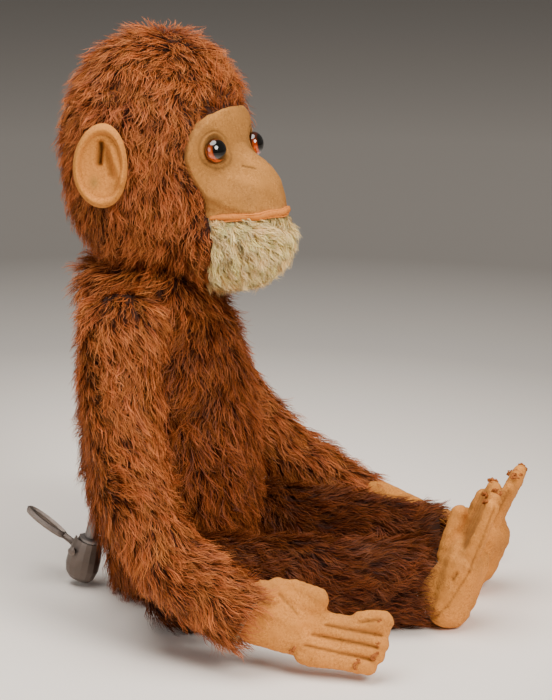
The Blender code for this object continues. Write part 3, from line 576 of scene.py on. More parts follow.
class Coat:
    """How one pelt's pile grows: the lift is in radians, and flow and trim are functions."""

    def __init__(self, colours, length, lift, flow, density=PILE_DENSITY, width=0.3 * MM, trim=None):
        self.colours = colours
        self.length = length
        self.lift = lift
        self.flow = flow
        self.density = density
        self.width = width
        self.trim = trim


def grow(name, base, coat, density, keep, seed):
    """Strands of pile on a base, gathered in locks, as one mesh."""
    rng = np.random.default_rng(SEED + seed)
    roots, normals = scattered(base.data, density, rng)
    kept = keep(roots, normals)
    roots, normals = roots[kept], normals[kept]
    count = len(roots)

    flow = coat.flow(roots, normals)
    bend = 0.55 * swirl(roots, 120, seed + 1) + 0.35 * swirl(roots, 320, seed + 2)
    across = np.cross(normals, flow)
    flow = unit(flow * np.cos(bend)[:, None] + across * np.sin(bend)[:, None])

    lock, offset = locks_of(roots, rng)
    lock_random = rng.random((lock.max() + 1, 6))
    mine = lock_random[lock]
    length = coat.length * (0.72 + 0.42 * mine[:, 0]) * (0.8 + 0.35 * rng.random(count))
    if coat.trim:
        length *= coat.trim(roots)
    lift = coat.lift * (0.45 + 1.1 * mine[:, 1]) * (0.8 + 0.4 * rng.random(count))
    across = unit(np.cross(normals, flow))
    spread = (rng.random(count) - 0.5) * 0.5 + (mine[:, 2] - 0.5) * 0.8
    flow = unit(flow + across * spread[:, None])

    t = np.linspace(0, 1, STRAND_STEPS)[None, :, None]
    phase = (mine[:, 3] * math.tau + rng.normal(size=count) * 0.5)[:, None, None]
    waves = (0.9 + 0.9 * mine[:, 4])[:, None, None]
    size = (1.5 * (0.35 + 0.6 * mine[:, 5]) * MM)[:, None, None]
    angle = phase + math.tau * waves * t
    n, f, b = (v[:, None, :] for v in (normals, flow, across))
    reach = length[:, None, None]
    rise = np.sin(lift)[:, None, None]
    run = np.cos(lift)[:, None, None]
    place = roots[:, None, :] + reach * (f * run * t + n * rise * (1.25 * t - 0.45 * t**2))
    place = place + (b * np.sin(angle) + n * 0.6 * np.cos(angle)) * size * t
    place = place + offset[:, None, :] * (0.8 * t**1.6)
    place[:, :, 2] = np.maximum(place[:, :, 2], FLOOR_CLEAR)

    tilt = rng.normal(size=count) * 0.7
    wide = across * np.cos(tilt)[:, None] + normals * np.sin(tilt)[:, None]
    taper = np.array([1, 1, 0.85, 0.6, 0.12])
    half = coat.width / 2 * (0.7 + 0.6 * rng.random(count))
    edge = wide[:, None, :] * (half[:, None] * taper[None, :])[:, :, None]
    return ribbons(name, place, edge, coat.colours, mine, rng)


def locks_of(roots, rng):
    """The lock that each strand belongs to, and the way from its root to the lock's middle."""
    wanted = max(2, int(len(roots) * MM**2 / (PILE_DENSITY * LOCK_SPACING**2)))
    middles = roots[rng.choice(len(roots), wanted, replace=False)]
    tree = kdtree.KDTree(len(middles))
    for i, middle in enumerate(middles):
        tree.insert(middle, i)
    tree.balance()
    lock = np.array([tree.find(root)[1] for root in roots])
    return lock, middles[lock] - roots


def ribbons(name, place, edge, colours, mine, rng):
    """Flat tapered strips along each strand, coloured from a root in painted shade to a tip with a painted
    highlight, and by its lock's draws.
    """
    count, steps = place.shape[:2]
    both = np.stack([place - edge, place + edge], axis=2).reshape(-1, 3)
    both[:, 2] = np.maximum(both[:, 2], FLOOR_CLEAR / 2)
    start = np.arange(count)[:, None] * steps * 2 + np.arange(steps - 1)[None, :] * 2
    quads = np.stack([start, start + 1, start + 3, start + 2], axis=2).reshape(-1, 4)
    mesh = bpy.data.meshes.new(name)
    mesh.vertices.add(len(both))
    mesh.vertices.foreach_set("co", both.astype(np.float32).ravel())
    mesh.loops.add(quads.size)
    mesh.loops.foreach_set("vertex_index", quads.astype(np.int32).ravel())
    mesh.polygons.add(len(quads))
    mesh.polygons.foreach_set("loop_start", np.arange(len(quads), dtype=np.int32) * 4)
    mesh.update(calc_edges=True)

    t = np.linspace(0, 1, steps)
    # From the root's painted shade to the tip's painted highlight
    root, middle, tip = (np.array(c) for c in colours)
    low = np.clip(t / 0.45, 0, 1)[:, None]
    high = np.clip((t - 0.45) / 0.55, 0, 1)[:, None]
    along = (root * (1 - low) + middle * low) * (1 - high) + tip * high
    tone = 0.55 + 0.55 * mine[:, 0] + 0.35 * (rng.random(count) - 0.3)
    colour = along[None, :, :] * np.clip(tone, 0.3, 1.6)[:, None, None]
    red = 1 + 0.22 * (mine[:, 1] - 0.5)
    colour[:, :, 1] /= red[:, None]
    set_colours(mesh, "pile", np.repeat(colour.reshape(-1, 3), 2, axis=0))
    strip_map(mesh, count, steps)
    return mesh


def strip_map(mesh, count, steps):
    """A texture map that lays each strip in a cell of its own."""
    columns = math.ceil(math.sqrt(count))
    cell = 1 / columns
    corner = np.stack([np.arange(count) % columns, np.arange(count) // columns], axis=1) * cell
    up = np.linspace(0.12, 0.88, steps)
    low, high = up[:-1], up[1:]
    left, right = np.full((2, steps - 1), ((0.2,), (0.8,)))
    ring = ((left, low), (right, low), (right, high), (left, high))
    quad = np.stack([np.stack(pair, axis=1) for pair in ring], axis=1)
    uv = corner[:, None, None, :] + quad[None] * cell
    layer = mesh.uv_layers.new(name="OFBake")
    layer.data.foreach_set("uv", uv.reshape(-1).astype(np.float32))


def everywhere(roots, normals):
    return np.ones(len(roots), bool)


def add_pile(part, base, body, coat, keep=everywhere, slot="mohair"):
    """Grows the pile of a base, in as many pieces as its strands need."""
    area = sum(p.area for p in base.data.polygons) / MM**2
    pieces = math.ceil(area * coat.density / MOST_STRANDS)
    for k in range(pieces):
        name = f"{part}_pile_{k + 1}"
        mesh = grow(name, base, coat, coat.density / pieces, keep, PILE_SEEDS[part] + 17 * k)
        settled(new_object(name, mesh, "pile"), body, slot)


# ---- pelts ----


def tangent(way, normals):
    """Directions laid along the surface."""
    way = np.broadcast_to(way, normals.shape)
    return unit(way - normals * (way * normals).sum(axis=1, keepdims=True))


def combed(way):
    """A flow that goes one way all over."""
    return lambda roots, normals: tangent(way, normals)


def middle_of(node):
    low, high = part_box(node)
    return np.array((low + high) / 2)


def pelt(part, nodes, voxel=1.7 * MM, depth=1.3 * MM):
    """A smooth base in place of a CAD skin."""
    skin = f"{part}_skin"
    mesh = outer_surface(nodes[skin], nodes[f"{part}_stuffing"], depth)
    base = remeshed(f"{part}_pelt", mesh, voxel, 3, "backing", BASE_DEPTH)
    settled(base, part, "mohair", skin)
    return base


def make_torso(nodes):
    base = pelt("torso", nodes, 2.4 * MM)
    add_pile("torso", base, "torso", Coat(COAT_TORSO_SHADED, 13 * MM, 0.42, combed((0, 0.15, -1))))


def make_ruff():
    """The pelt's neck, which stands up round the fork and under the head."""
    # Rows of height, half depth and half width, in millimetres
    rows = ((126, 26, 24), (134, 28.5, 25.5), (142, 28.5, 24), (149, 26, 21), (153, 18, 14))
    turns = turns_of(40)
    points = [
        ((half_wide * math.cos(t)) * MM, (7 + half_deep * math.sin(t)) * MM, up * MM)
        for up, half_deep, half_wide in rows
        for t in turns
    ]
    mesh = mesh_of("neck_pelt", points, grid_faces(len(rows), len(turns), True))
    base = new_object("neck_pelt", mesh, "backing")
    finer = base.modifiers.new("finer", "SUBSURF")
    finer.levels = finer.render_levels = 1
    baked(base)
    settled(base, "torso", "mohair")
    add_pile("neck", base, "torso", Coat(COAT, 13 * MM, 0.55, combed((0, 0.1, -1))))


def short_of(end, reach):
    """Keeps the roots that aren't on the flat end that a hand or a foot is sewn to."""

    def keep(roots, normals):
        way = unit(end - roots)
        near = np.linalg.norm(end - roots, axis=1) < reach
        return ~(near & ((way * normals).sum(axis=1) > 0.35))

    return keep


def make_arm(side, nodes):
    name = f"{side}_arm"
    base = pelt(name, nodes)
    wrist = middle_of(f"{side}_hand")

    def flow(roots, normals):
        toward = unit(wrist - roots)
        return tangent(toward * 1.2 + np.array((0, 0, -0.7)), normals)

    add_pile(name, base, name, Coat(COAT, 12 * MM, 0.36, flow), short_of(wrist, 34 * MM))


def make_leg(side, nodes):
    """A leg's pelt, which also stands for the stuffing, and its pile, short of the flat ankle."""
    name = f"{side}_leg"
    base = pelt(name, nodes)
    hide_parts(f"{name}_stuffing")
    front = float(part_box(f"{name}_skin")[0][1])

    def keep(roots, normals):
        return (roots[:, 1] > front + 5 * MM) | (normals[:, 1] > -0.75)

    add_pile(name, base, name, Coat(COAT_LEGS_SHADED, 12 * MM, 0.3, combed((0, -1, -0.22))), keep)


# ---- head ----

# The felt face's half width at each rise, and the chin's, in degrees seen from the star point
MASK_EDGE = ((-16, 31), (-8, 33.5), (0, 35), (8, 39), (15, 45), (22, 50),
             (30, 50.5), (37, 47.5), (43, 42), (47, 32), (49, 16), (49.5, 0))
CHIN_EDGE = ((-60, 0), (-58.5, 12), (-54, 23), (-47, 29), (-38, 31.5), (-26, 32.5),
             (-12, 33), (-4, 33))
LIP_MIDDLE = math.radians(-7.6)  # the lip rises to here in front
LIP_SAG = math.radians(8)  # and hangs this much lower at its corners
LIP_HALF_WIDTH = math.radians(33)
MASK_TOP = math.radians(49.4)  # just under its top, where it still has a width


def lip_rise(azimuth):
    return LIP_MIDDLE - LIP_SAG * (azimuth / LIP_HALF_WIDTH) ** 2


def half_width(edge, rise):
    rises, widths = np.radians(np.array(edge)).T
    return np.interp(rise, rises, widths, 0, 0)


def on_mask(azimuth, rise, margin=0):
    """Whether directions lie on the felt face, or within a margin of it."""
    low = np.radians(MASK_EDGE[0][0])
    wide = half_width(MASK_EDGE, np.clip(rise, low, MASK_TOP - margin)) + margin
    top = rise < np.radians(MASK_EDGE[-1][0]) + margin
    return top & (rise > lip_rise(azimuth)) & (np.abs(azimuth) < wide)


def on_chin(azimuth, rise, margin=0):
    wide = half_width(CHIN_EDGE, rise)
    return (wide > 0) & (rise < lip_rise(azimuth)) & (np.abs(azimuth) < wide + margin)


def patch_grid(edge, columns, rows, above):
    """Angles over a patch that ends at the lip; the share is 0 in its middle and 1 at its edge."""
    rises, widths = np.radians(np.array(edge)).T
    across = np.sin(np.linspace(-math.pi / 2, math.pi / 2, columns))
    up = np.linspace(0, 1, rows)
    if above:
        rise = LIP_MIDDLE + (rises[-1] - LIP_MIDDLE) * np.sin(up * math.pi / 2)
    else:
        rise = rises[0] + (LIP_MIDDLE - rises[0]) * (1 - np.cos(up * math.pi / 2))
    wide = np.maximum(np.interp(rise, rises, widths), np.radians(0.3))
    azimuth = across[None, :] * wide[:, None]
    hang = np.clip(1 - np.abs(rise - LIP_MIDDLE) / np.radians(30), 0, 1)[:, None]
    rise = rise[:, None] + (lip_rise(azimuth) - LIP_MIDDLE) * hang
    share = np.abs(across)[None, :] * np.ones((rows, 1))
    free = up if above else 1 - up
    share = np.maximum(share, free[:, None])
    return azimuth, rise, share


def make_head(nodes, joints):
    place = HeadFrame(joints)
    shape = HeadShape(nodes, place)
    base = make_scalp(shape)
    eyes = {side: place.to_sewn(middle_of(f"{side}_eye")) for side in SIDES}
    make_mask(shape, eyes)
    make_chin(shape)
    make_lip(shape)
    for side in SIDES:
        make_eye(side, nodes)
        make_ear(side, nodes, place)
    crown = shape.star + np.array((0, 6, 58)) * MM

    def flow(roots, normals):
        away = unit(place.to_sewn(roots) - crown) + np.array((0, 0.12, -0.25))
        azimuth, rise = shape.angles(roots)
        brow = bell(azimuth, 0.75) * bell(rise - 0.95, 0.3)
        away = away * (1 - brow[:, None]) + brow[:, None] * np.array((0, 0.1, 1))
        return tangent(place.turned(away), normals)

    def keep(roots, normals):
        azimuth, rise = shape.angles(roots)
        bare = on_mask(azimuth, rise) | on_chin(azimuth, rise)
        lip = (np.abs(rise - lip_rise(azimuth)) < 0.05) & (np.abs(azimuth) < LIP_HALF_WIDTH)
        return ~(bare | lip)

    def trim(roots):
        azimuth, rise = shape.angles(roots)
        near = on_mask(azimuth, rise, 0.16) | on_chin(azimuth, rise, 0.12)
        return np.where(near, 0.55, 1)

    add_pile("head", base, "head", Coat(COAT, 11 * MM, 0.42, flow, trim=trim), keep)


def make_scalp(shape):
    """The head's pelt: a sphere's grid pushed out to the head's surface."""
    tall, wide = 90, 160
    rises = np.linspace(-math.pi / 2 + 0.02, math.pi / 2 - 0.02, tall)
    azimuths = np.linspace(-math.pi, math.pi, wide, endpoint=False)
    azimuth, rise = np.meshgrid(azimuths, rises)
    points = shape.sewn_point(azimuth, rise, -BASE_DEPTH).reshape(-1, 3)
    mesh = mesh_of("head_pelt", shape.place.to_scene(points), closed_faces(tall, wide))
    base = new_object("head_pelt", mesh, "backing")
    settled(base, "head", "mohair", "head_skin")
    return base


def bell(distance, width):
    return np.exp(-((distance / width) ** 2))


def make_mask(shape, eyes):
    """The felt face: creased rims round the eyes and a stitched nostril, with painted shade in the creases,
    sockets and nostrils and a painted shadow under each eye.
    """
    columns, rows = 150, 130
    azimuth, rise, share = patch_grid(MASK_EDGE, columns, rows, True)
    flat = shape.sewn_point(azimuth, rise)
    proud = 1.1 * MM - 2.2 * MM * np.clip((share - 0.95) / 0.05, 0, 1) ** 2
    shade = np.ones(share.shape)
    for centre in eyes.values():
        away = np.linalg.norm(flat - centre, axis=-1)
        ring = bell(away - 6.5 * MM, 0.9 * MM)
        crease = bell(away - 7.8 * MM, 0.45 * MM)
        proud = proud + 0.75 * MM * ring - 0.35 * MM * crease - 1 * MM * bell(away, 5 * MM)
        # Painted shade in the crease and the sunken socket round each eye
        shade *= 1 - 0.3 * crease - 0.6 * bell(away, 5.6 * MM)
        # A painted shadow below and inside each eye, towards the nose
        inward = centre * np.array((0.45, 1.06, 1)) - np.array((0, 0, 6 * MM))
        shade *= 1 - 0.34 * bell(np.linalg.norm(flat - inward, axis=-1), 6.5 * MM)
    for sign in (-1, 1):
        dash = line_distance(azimuth * sign, rise, (0.135, 0.235), (0.235, 0.275))
        proud = proud - 0.8 * MM * bell(dash, 0.01)
        # Painted shade in the nostril's dip
        shade *= 1 - 0.72 * bell(dash, 0.009)
    wrinkle = swirl(flat.reshape(-1, 3), 420, 7).reshape(share.shape)
    proud = proud + 0.2 * MM * wrinkle
    shade *= 0.92 + 0.08 * swirl(flat.reshape(-1, 3), 260, 8).reshape(share.shape)
    points = shape.sewn_point(azimuth, rise, proud).reshape(-1, 3)
    mesh = mesh_of("face_mask", shape.place.to_scene(points), grid_faces(rows, columns, False))
    set_shade(mesh, shade)
    settled(new_object("face_mask", mesh, "face_felt"), "head", "felt", "face_felt")


def make_chin(shape):
    """The cream chin: its backing and its own pile, combed down and forward."""
    columns, rows = 90, 70
    azimuth, rise, share = patch_grid(CHIN_EDGE, columns, rows, False)
    proud = 0.4 * MM - 1.4 * MM * np.clip((share - 0.93) / 0.07, 0, 1)
    points = shape.sewn_point(azimuth, rise, proud).reshape(-1, 3)
    mesh = mesh_of("chin_pelt", shape.place.to_scene(points), grid_faces(rows, columns, False))
    base = new_object("chin_pelt", mesh, "cream_backing")
    settled(base, "head", "white_mohair", "chin_patch")
    flow = combed(shape.place.turned((0, -0.45, -1)))
    coat = Coat(CREAM, 7 * MM, 0.42, flow, 3.4, 0.26 * MM)
    add_pile("chin", base, "head", coat, slot="white_mohair")


def make_lip(shape):
    """The folded felt seam of the lip, with a line of stitches above and below."""
    azimuth = np.linspace(-LIP_HALF_WIDTH, LIP_HALF_WIDTH, 90)
    end = np.clip((LIP_HALF_WIDTH - np.abs(azimuth)) / 0.12, 0.25, 1) ** 0.5
    tubes = []
    for offset, radius, proud in ((0, 1.5, 1), (1.25, 0.35, 1.9), (-1.25, 0.35, 1.9)):
        rise = lip_rise(azimuth) + offset * MM / (50 * MM) + 0.0016 * np.sin(azimuth * 31)
        path = shape.sewn_point(azimuth, rise, proud * MM)
        beads = 1 + (0.22 * np.sin(azimuth * 260) if offset else 0.05 * np.sin(azimuth * 90))
        tubes.append(tube_mesh("lip", shape.place.to_scene(path), radius * MM * end * beads, 14))
    mesh = joined("lip_seam", tubes)
    set_shade(mesh, np.ones(len(mesh.vertices)))
    settled(new_object("lip_seam", mesh, "piping"), "head", "piping", "lip_piping")


def principal(points):
    """The middle of a cloud of points and its axes, longest first, as rows."""
    middle = points.mean(axis=0)
    _, _, axes = np.linalg.svd(points - middle, full_matrices=False)
    return middle, axes


def cloud_of(node):
    return np.array([tuple(v.co) for v in node.data.vertices])


def make_eye(side, nodes):
    """A blown glass button: domed front, amber round a black pupil."""
    cloud = cloud_of(nodes[f"{side}_eye"])
    middle, axes = principal(cloud)
    star = cloud_of(nodes["head_skin"]).mean(axis=0)
    out = min(axes, key=lambda a: np.ptp(cloud @ a))
    out = out * np.sign(out @ (middle - star))
    across = unit(np.cross(out, (0, 0, 1)))
    up = np.cross(across, out)
    along = (cloud - middle) @ out
    radius = np.ptp(cloud @ across) / 2
    low, high = along.min(), along.max()
    deep = high - low
    dome = np.linspace(1.5, 0, 22)
    profile = [(math.cos(t), low + deep * (0.34 + 0.66 * math.sin(t))) for t in dome]
    profile += [(0.94, low + 0.18 * deep), (0.55, low)]
    turns = turns_of(64)
    points = [
        middle + out * height + radius * share * (across * math.cos(t) + up * math.sin(t))
        for share, height in profile
        for t in turns
    ]
    mesh = mesh_of(f"{side}_glass_eye", points, closed_faces(len(profile), len(turns)))
    rim = np.repeat([share for share, _ in profile], len(turns))
    # Green and blue carry the painted glow of light, bright low on one side
    painted_glow = np.tile(0.5 - 0.5 * np.sin(turns - 0.6), len(profile))
    set_colours(mesh, "rim", np.stack([rim, painted_glow, painted_glow], axis=1))
    settled(new_object(f"{side}_glass_eye", mesh, "glass"), "head", "glass", f"{side}_eye")


def line_distance(x, y, start, end):
    """Distance of places in a plane from a short line."""
    ax, ay = start
    bx, by = end
    length = math.hypot(bx - ax, by - ay)
    t = np.clip(((x - ax) * (bx - ax) + (y - ay) * (by - ay)) / length**2, 0, 1)
    return np.hypot(x - ax - t * (bx - ax), y - ay - t * (by - ay))


def make_ear(side, nodes, place):
    """Two layers of felt turned at the rim, tucked into a pleat in the middle."""
    cloud = place.to_sewn(cloud_of(nodes[f"{side}_ear"]))
    middle = (cloud.min(axis=0) + cloud.max(axis=0)) / 2
    _, axes = principal(cloud)
    out = axes[2] * np.sign(axes[2][0] * -SIDES[side])
    up = np.array((0, 0, 1))
    fore = unit(np.cross(up, out))
    fore = fore * (1 if fore[1] < 0 else -1)
    half_wide = np.ptp(cloud @ fore) / 2
    half_tall = np.ptp(cloud @ up) / 2

    rings, around = 40, 120
    shares = np.linspace(0, 1, rings + 1)[1:]
    share, turn = np.meshgrid(shares, turns_of(around), indexing="ij")
    x = half_wide / MM * share * np.cos(turn) * (1 - 0.08 * np.cos(turn))
    y = half_tall / MM * share * np.sin(turn) * (1 + 0.05 * np.sin(turn))
    rim = bell(share - 0.86, 0.1)
    seam = bell(share - 0.74, 0.025)
    height = 1.2 + 2 * rim - 2.6 * bell(share, 0.62) - 0.5 * seam
    fold = line_distance(x, y, (-1, 10), (-1.6, 1.5))
    ridge = line_distance(x, y, (3.4, 7.5), (8.4, -5.5))
    hollow = line_distance(x, y, (1, 8), (3.5, -3))
    height = height - 3.4 * bell(fold, 1.1) + 1.5 * bell(ridge, 1.7) - 1.3 * bell(hollow, 1.4)
    edge = np.clip((share - 0.93) / 0.07, 0, 1)
    front = height - 0.9 * edge**2
    rear = height - 2 + 0.9 * edge**2
    stain = np.hypot((x + 3.4) / 2, (y + 6.4) / 2.6)
    # Painted shade in the fold and the hollow, and darker along the sunk seam; the stain below is the
    # felt's own
    shade = 1 - 0.62 * bell(fold, 1.3) - 0.22 * bell(hollow, 1.6) - 0.12 * seam
    colours = np.repeat(shade[..., None], 3, axis=2)
    colours *= 1 - bell(stain, 1)[..., None] * np.array((0.42, 0.3, 0.16))

    def layer(height_mm):
        lift = (height_mm - 1)[..., None] * out
        return middle + MM * (x[..., None] * fore + y[..., None] * up + lift)

    points = np.concatenate([layer(front), layer(rear)[::-1]]).reshape(-1, 3)
    both = np.concatenate([colours, colours[::-1]]).reshape(-1, 3)
    faces = closed_faces(2 * rings, around)
    mesh = mesh_of(f"{side}_felt_ear", place.to_scene(points), faces)
    set_colours(mesh, "shade", both)
    settled(new_object(f"{side}_felt_ear", mesh, "felt"), "head", "felt", f"{side}_ear")


# ---- hands and feet ----

FELT_VOXEL = 0.8 * MM
HAND_DROP = {"right": 2.6 * MM, "left": 7.5 * MM}  # how far a hand lies under its CAD node
# How far a foot's toes stand from where the CAD node has them
TOE_LEAN = {"right": (0, -1 * MM, 0), "left": (0, -6.5 * MM, -6 * MM)}


class Lobe:
    """A rounded piece of a hand or a foot, between two places with a radius at each."""

    def __init__(self, start, end, first, last, flat=1):
        self.start, self.end = np.array(start, float), np.array(end, float)
        self.first, self.last = first, last
        self.flat = flat

    def mesh(self, frame):
        share = np.linspace(0, 1, 14)
        axis = self.end - self.start
        way = axis / np.linalg.norm(axis)
        radius = self.first + (self.last - self.first) * share
        ends = np.radians(np.linspace(-84, 0, 6)[:-1])
        arcs = [(math.sin(a), math.cos(a)) for a in ends]
        head = [(self.start + way * self.first * u, self.first * v) for u, v in arcs]
        body = [(self.start + axis * s, r) for s, r in zip(share, radius)]
        tail = [(self.end - way * self.last * u, self.last * v) for u, v in arcs[::-1]]
        rows = head + body + tail
        path = np.array([p for p, _ in rows])
        sizes = np.array([r for _, r in rows])
        mesh = tube_mesh("lobe", path * MM, sizes * MM, 16)
        points, _ = points_and_normals(mesh)
        middle = (self.start[2] + self.end[2]) / 2 * MM
        points[:, 2] = middle + (points[:, 2] - middle) * self.flat
        set_points(mesh, frame.place(points))
        return mesh


class LimbEnd:
    """A hand's or a foot's own axes: along it, across it and out of its side."""

    def __init__(self, start, end, out):
        self.start = start
        self.out = out
        along = end - start
        along = along - self.out * (along @ self.out)
        self.length = np.linalg.norm(along)
        self.along = along / self.length
        self.across = np.cross(self.along, self.out)
        self.across *= np.sign(self.across[2])

    def place(self, points):
        """From (along, across, out) to the scene."""
        along, across, out = (points[:, k : k + 1] for k in range(3))
        return self.start + along * self.along + across * self.across + out * self.out

    def own(self, points):
        away = np.asarray(points) - self.start
        return np.stack([away @ self.along, away @ self.across, away @ self.out], axis=1)


def sewn_felt(name, frame, lobes, grooves):
    """Stuffed felt of overlapping lobes, with sewn grooves pressed into it and painted shade along them."""
    rough = joined(name, [lobe.mesh(frame) for lobe in lobes])
    piece = remeshed(name, rough, FELT_VOXEL, 5, "felt")
    points, normals = points_and_normals(piece.data)
    own = frame.own(points) / MM
    sunk = np.zeros(len(points))
    shade = np.ones(len(points))
    for start, end, deep, width in grooves:
        near = bell(line_distance(own[:, 0], own[:, 1], start, end), width)
        sunk += deep * near
        # Painted shade in the groove
        shade *= 1 - 0.38 * near
    wrinkle = 0.25 * swirl(points, 520, 31) + 0.15 * swirl(points, 1300, 32)
    points = points - normals * (sunk - wrinkle)[:, None] * MM
    points[:, 2] = np.maximum(points[:, 2], FLOOR_CLEAR)
    set_points(piece.data, points)
    shade *= 0.94 + 0.06 * swirl(points, 300, 33)
    set_shade(piece.data, shade)
    return piece


def frayed(name, frame, spots, seed):
    """Worn finger and toe ends: curled scraps of felt at places along, across and out, by size."""
    rng = np.random.default_rng(SEED + seed)
    meshes = []
    for along, across, out, size in spots:
        for _ in range(5):
            start = rng.random() * math.tau
            turns = start + np.linspace(0, 1.2 + 2.2 * rng.random(), 12)
            reach = size * (0.75 + 0.3 * rng.random())
            wobble = rng.normal(size=(12, 3)) * 0.22
            path = np.stack(
                [along + 0.5 * rng.random() + 0.7 * np.sin(turns * 2),
                 across + reach * np.cos(turns), out + reach * 0.7 * np.sin(turns)], axis=1
            ) + wobble
            thick = 0.55 * np.sin(np.linspace(0.5, 2.6, 12)) * MM
            mesh = tube_mesh("fray", frame.place(path * MM), thick, 8)
            meshes.append(mesh)
    mesh = joined(name, meshes)
    points, _ = points_and_normals(mesh)
    points[:, 2] = np.maximum(points[:, 2], FLOOR_CLEAR)
    set_points(mesh, points)
    tone = 0.62 + 0.38 * rng.random(len(mesh.vertices))
    set_shade(mesh, tone)
    return new_object(name, mesh, "frayed_felt")


def outward(joint, side):
    return unit(np.array(joint["axis"])) * SIDES[side]


def add_limb_end(side, part, body, ends, frame, lobes, grooves, spots):
    """A felt hand or foot in place of its CAD node, and its worn ends."""
    piece = sewn_felt(f"{side}_felt_{part}", frame, lobes, grooves)
    settled(piece, body, "felt", f"{side}_{part}")
    worn = frayed(f"{side}_{ends}_ends", frame, spots, FRAY_SEEDS[f"{side}_{part}"])
    settled(worn, body, "felt")


def make_hand(side, nodes, joints):
    """A felt hand lying on its edge: four sewn fingers, the first curled, and a folded thumb."""
    joint = joint_named(joints, f"{side}_shoulder")
    cloud = cloud_of(nodes[f"{side}_hand"])
    middle, axes = principal(cloud)
    axis = axes[0] * np.sign(axes[0] @ (middle - np.array(joint["pos_m"])))
    along = (cloud - middle) @ axis
    low = np.array((0, 0, HAND_DROP[side]))
    start, end = (middle + axis * at - low for at in (along.min(), along.max()))
    frame = LimbEnd(start, end, outward(joint, side))
    reach = frame.length / MM
    fingers = (7.6, 2.4, -2.9, -8.3)
    lobes = [
        Lobe((3, 1, 0), (18, 0.2, 0), 9.2, 8.6, 0.8),
        Lobe((4, 5.5, 0), (24, 4.5, 0), 8.6, 7, 0.75),
        Lobe((4, -5, 0), (24, -4.9, 0), 8.6, 7, 0.75),
        Lobe((14, 4, 0), (38, 4.6, 0), 6.6, 5.4, 0.8),
        Lobe((14, -5.4, 0), (38, -5.6, 0), 6.8, 5.6, 0.8),
    ]
    if side == "right":
        lobes += [
            Lobe((8, 11, 1.5), (24, 11.6, 3.6), 5.6, 6.4, 0.55),
            Lobe((14, 14.6, 3), (25.5, 13.6, 4.6), 3.4, 4.4, 0.7),
        ]
    for k, across in enumerate(fingers):
        tip = reach - (4.4, 3, 3.2, 5)[k]
        lobes.append(Lobe((27, across - 2.4, 0), (tip, across + 2.2, 0.5 * (k % 2)), 3.9, 3.6))
    lobes.append(Lobe((reach - 15, 11.4, 0.6), (reach - 5.5, 13, 1.2), 3.2, 4.8, 0.85))
    grooves = [((reach - start, y - 1.2), (reach - 4, y + 2.4), 1.3, 0.62)
               for start, y in ((27, 5.1), (31, -0.2), (32, -5.5))]
    grooves += [((reach - 14, 9.6), (reach - 6, 13.4), 1, 0.55),
                ((10, 9.6), (20, 4.4), 0.6, 0.6)]
    spots = [(reach - 4, 4.2, 3, 1.2), (reach - 4, -1, 3, 1.9),
             (reach - 10, -6.8, 3, 2), (reach - 6.5, 13, 3.8, 1.4), (22, -10, 3.4, 1.6)]
    add_limb_end(side, "hand", f"{side}_arm", "finger", frame, lobes, grooves, spots)


def make_foot(side, nodes, joints):
    """A felt paw standing on its heel, sewn up the side, with frayed toes."""
    joint = joint_named(joints, f"{side}_hip")
    cloud = cloud_of(nodes[f"{side}_foot"])
    heel = cloud[np.argsort(cloud[:, 2])[:12]].mean(axis=0)
    toe = cloud[np.argsort(cloud[:, 2])[-8:]].mean(axis=0) + np.array(TOE_LEAN[side])
    frame = LimbEnd(heel, toe, outward(joint, side))
    reach = frame.length / MM
    lobes = [
        Lobe((9.5, -1.5, -4), (9.5, -1.5, 4), 9.6, 9.6),
        Lobe((9, -1, -5), (30, -0.5, -5.5), 8.8, 8.2),
        Lobe((9, -1, 5), (30, -0.5, 5.5), 8.8, 8.2),
        Lobe((12, 3, 0), (34, 0, 0), 9.4, 7),
        Lobe((14, -4, 0), (30, -4, 0), 9, 8),
        Lobe((28, 4, -7), (47, 7, -8.5), 6, 3.8),
    ]
    toes = (-6.5, -2.2, 2.6, 7.2, 10.6)
    for k, sideways in enumerate(toes):
        tip = reach - (8.5, 4, 3, 5.5, 9)[k]
        lobes.append(Lobe((34, -0.5, sideways * 0.8), (tip, -1, sideways), 4.4, 3.1))
    grooves = [((2, 5.5), (12, 1.5), 0.8, 0.45), ((12, 1.5), (30, -2), 0.8, 0.45),
               ((30, -2), (reach - 8, -1.5), 0.8, 0.45), ((24, 3.6), (27.5, 3), 1.2, 0.7),
               ((38, 3.4), (reach - 6, 2.6), 0.7, 0.6)]
    spots = [(reach - 2.6, -1, y, 1.9) for y in toes[:4]]
    spots += [(47.5, 7, -8.5, 2), (reach - 8, 1.5, 9, 1.6), (reach - 6.5, 2, 4, 1.6)]
    add_limb_end(side, "foot", f"{side}_leg", "toe", frame, lobes, grooves, spots)


# ---- carried-over CAD nodes ----


def finish_of(name):
    if name.startswith("tail_"):
        return "worn_tin"
    if "disc" in name:
        return "board"
    if "stuffing" in name:
        return "straw"
    if name in ("turning_tube", "guide_tube", "neck_fork", "cup_bridge"):
        return "dark_tin"
    return "steel"


def dress_nodes(nodes):
    """Every CAD node that is kept gets its own finish."""
    for name, obj in nodes.items():
        if not obj.hide_render:
            obj.data.materials.clear()
            obj.data.materials.append(MATERIALS[finish_of(name)])
            obj.data.shade_smooth()
            obj.data.set_sharp_from_angle(angle=math.radians(42))


# ---- stage ----


def make_camera():
    flat = math.cos(CAMERA_ELEVATION)
    way = Vector(
        (-math.sin(CAMERA_AZIMUTH) * flat, math.cos(CAMERA_AZIMUTH) * flat, -math.sin(CAMERA_ELEVATION))
    )
    data = bpy.data.cameras.new("camera")
    data.sensor_fit = "VERTICAL"
    data.sensor_height = SENSOR_HEIGHT
    data.lens = CAMERA_LENS
    camera = bpy.data.objects.new("camera", data)
    camera.location = CAMERA_TARGET - way * CAMERA_DISTANCE
    camera.rotation_euler = way.to_track_quat("-Z", "Y").to_euler()
    bpy.context.scene.collection.objects.link(camera)
    bpy.context.scene.camera = camera


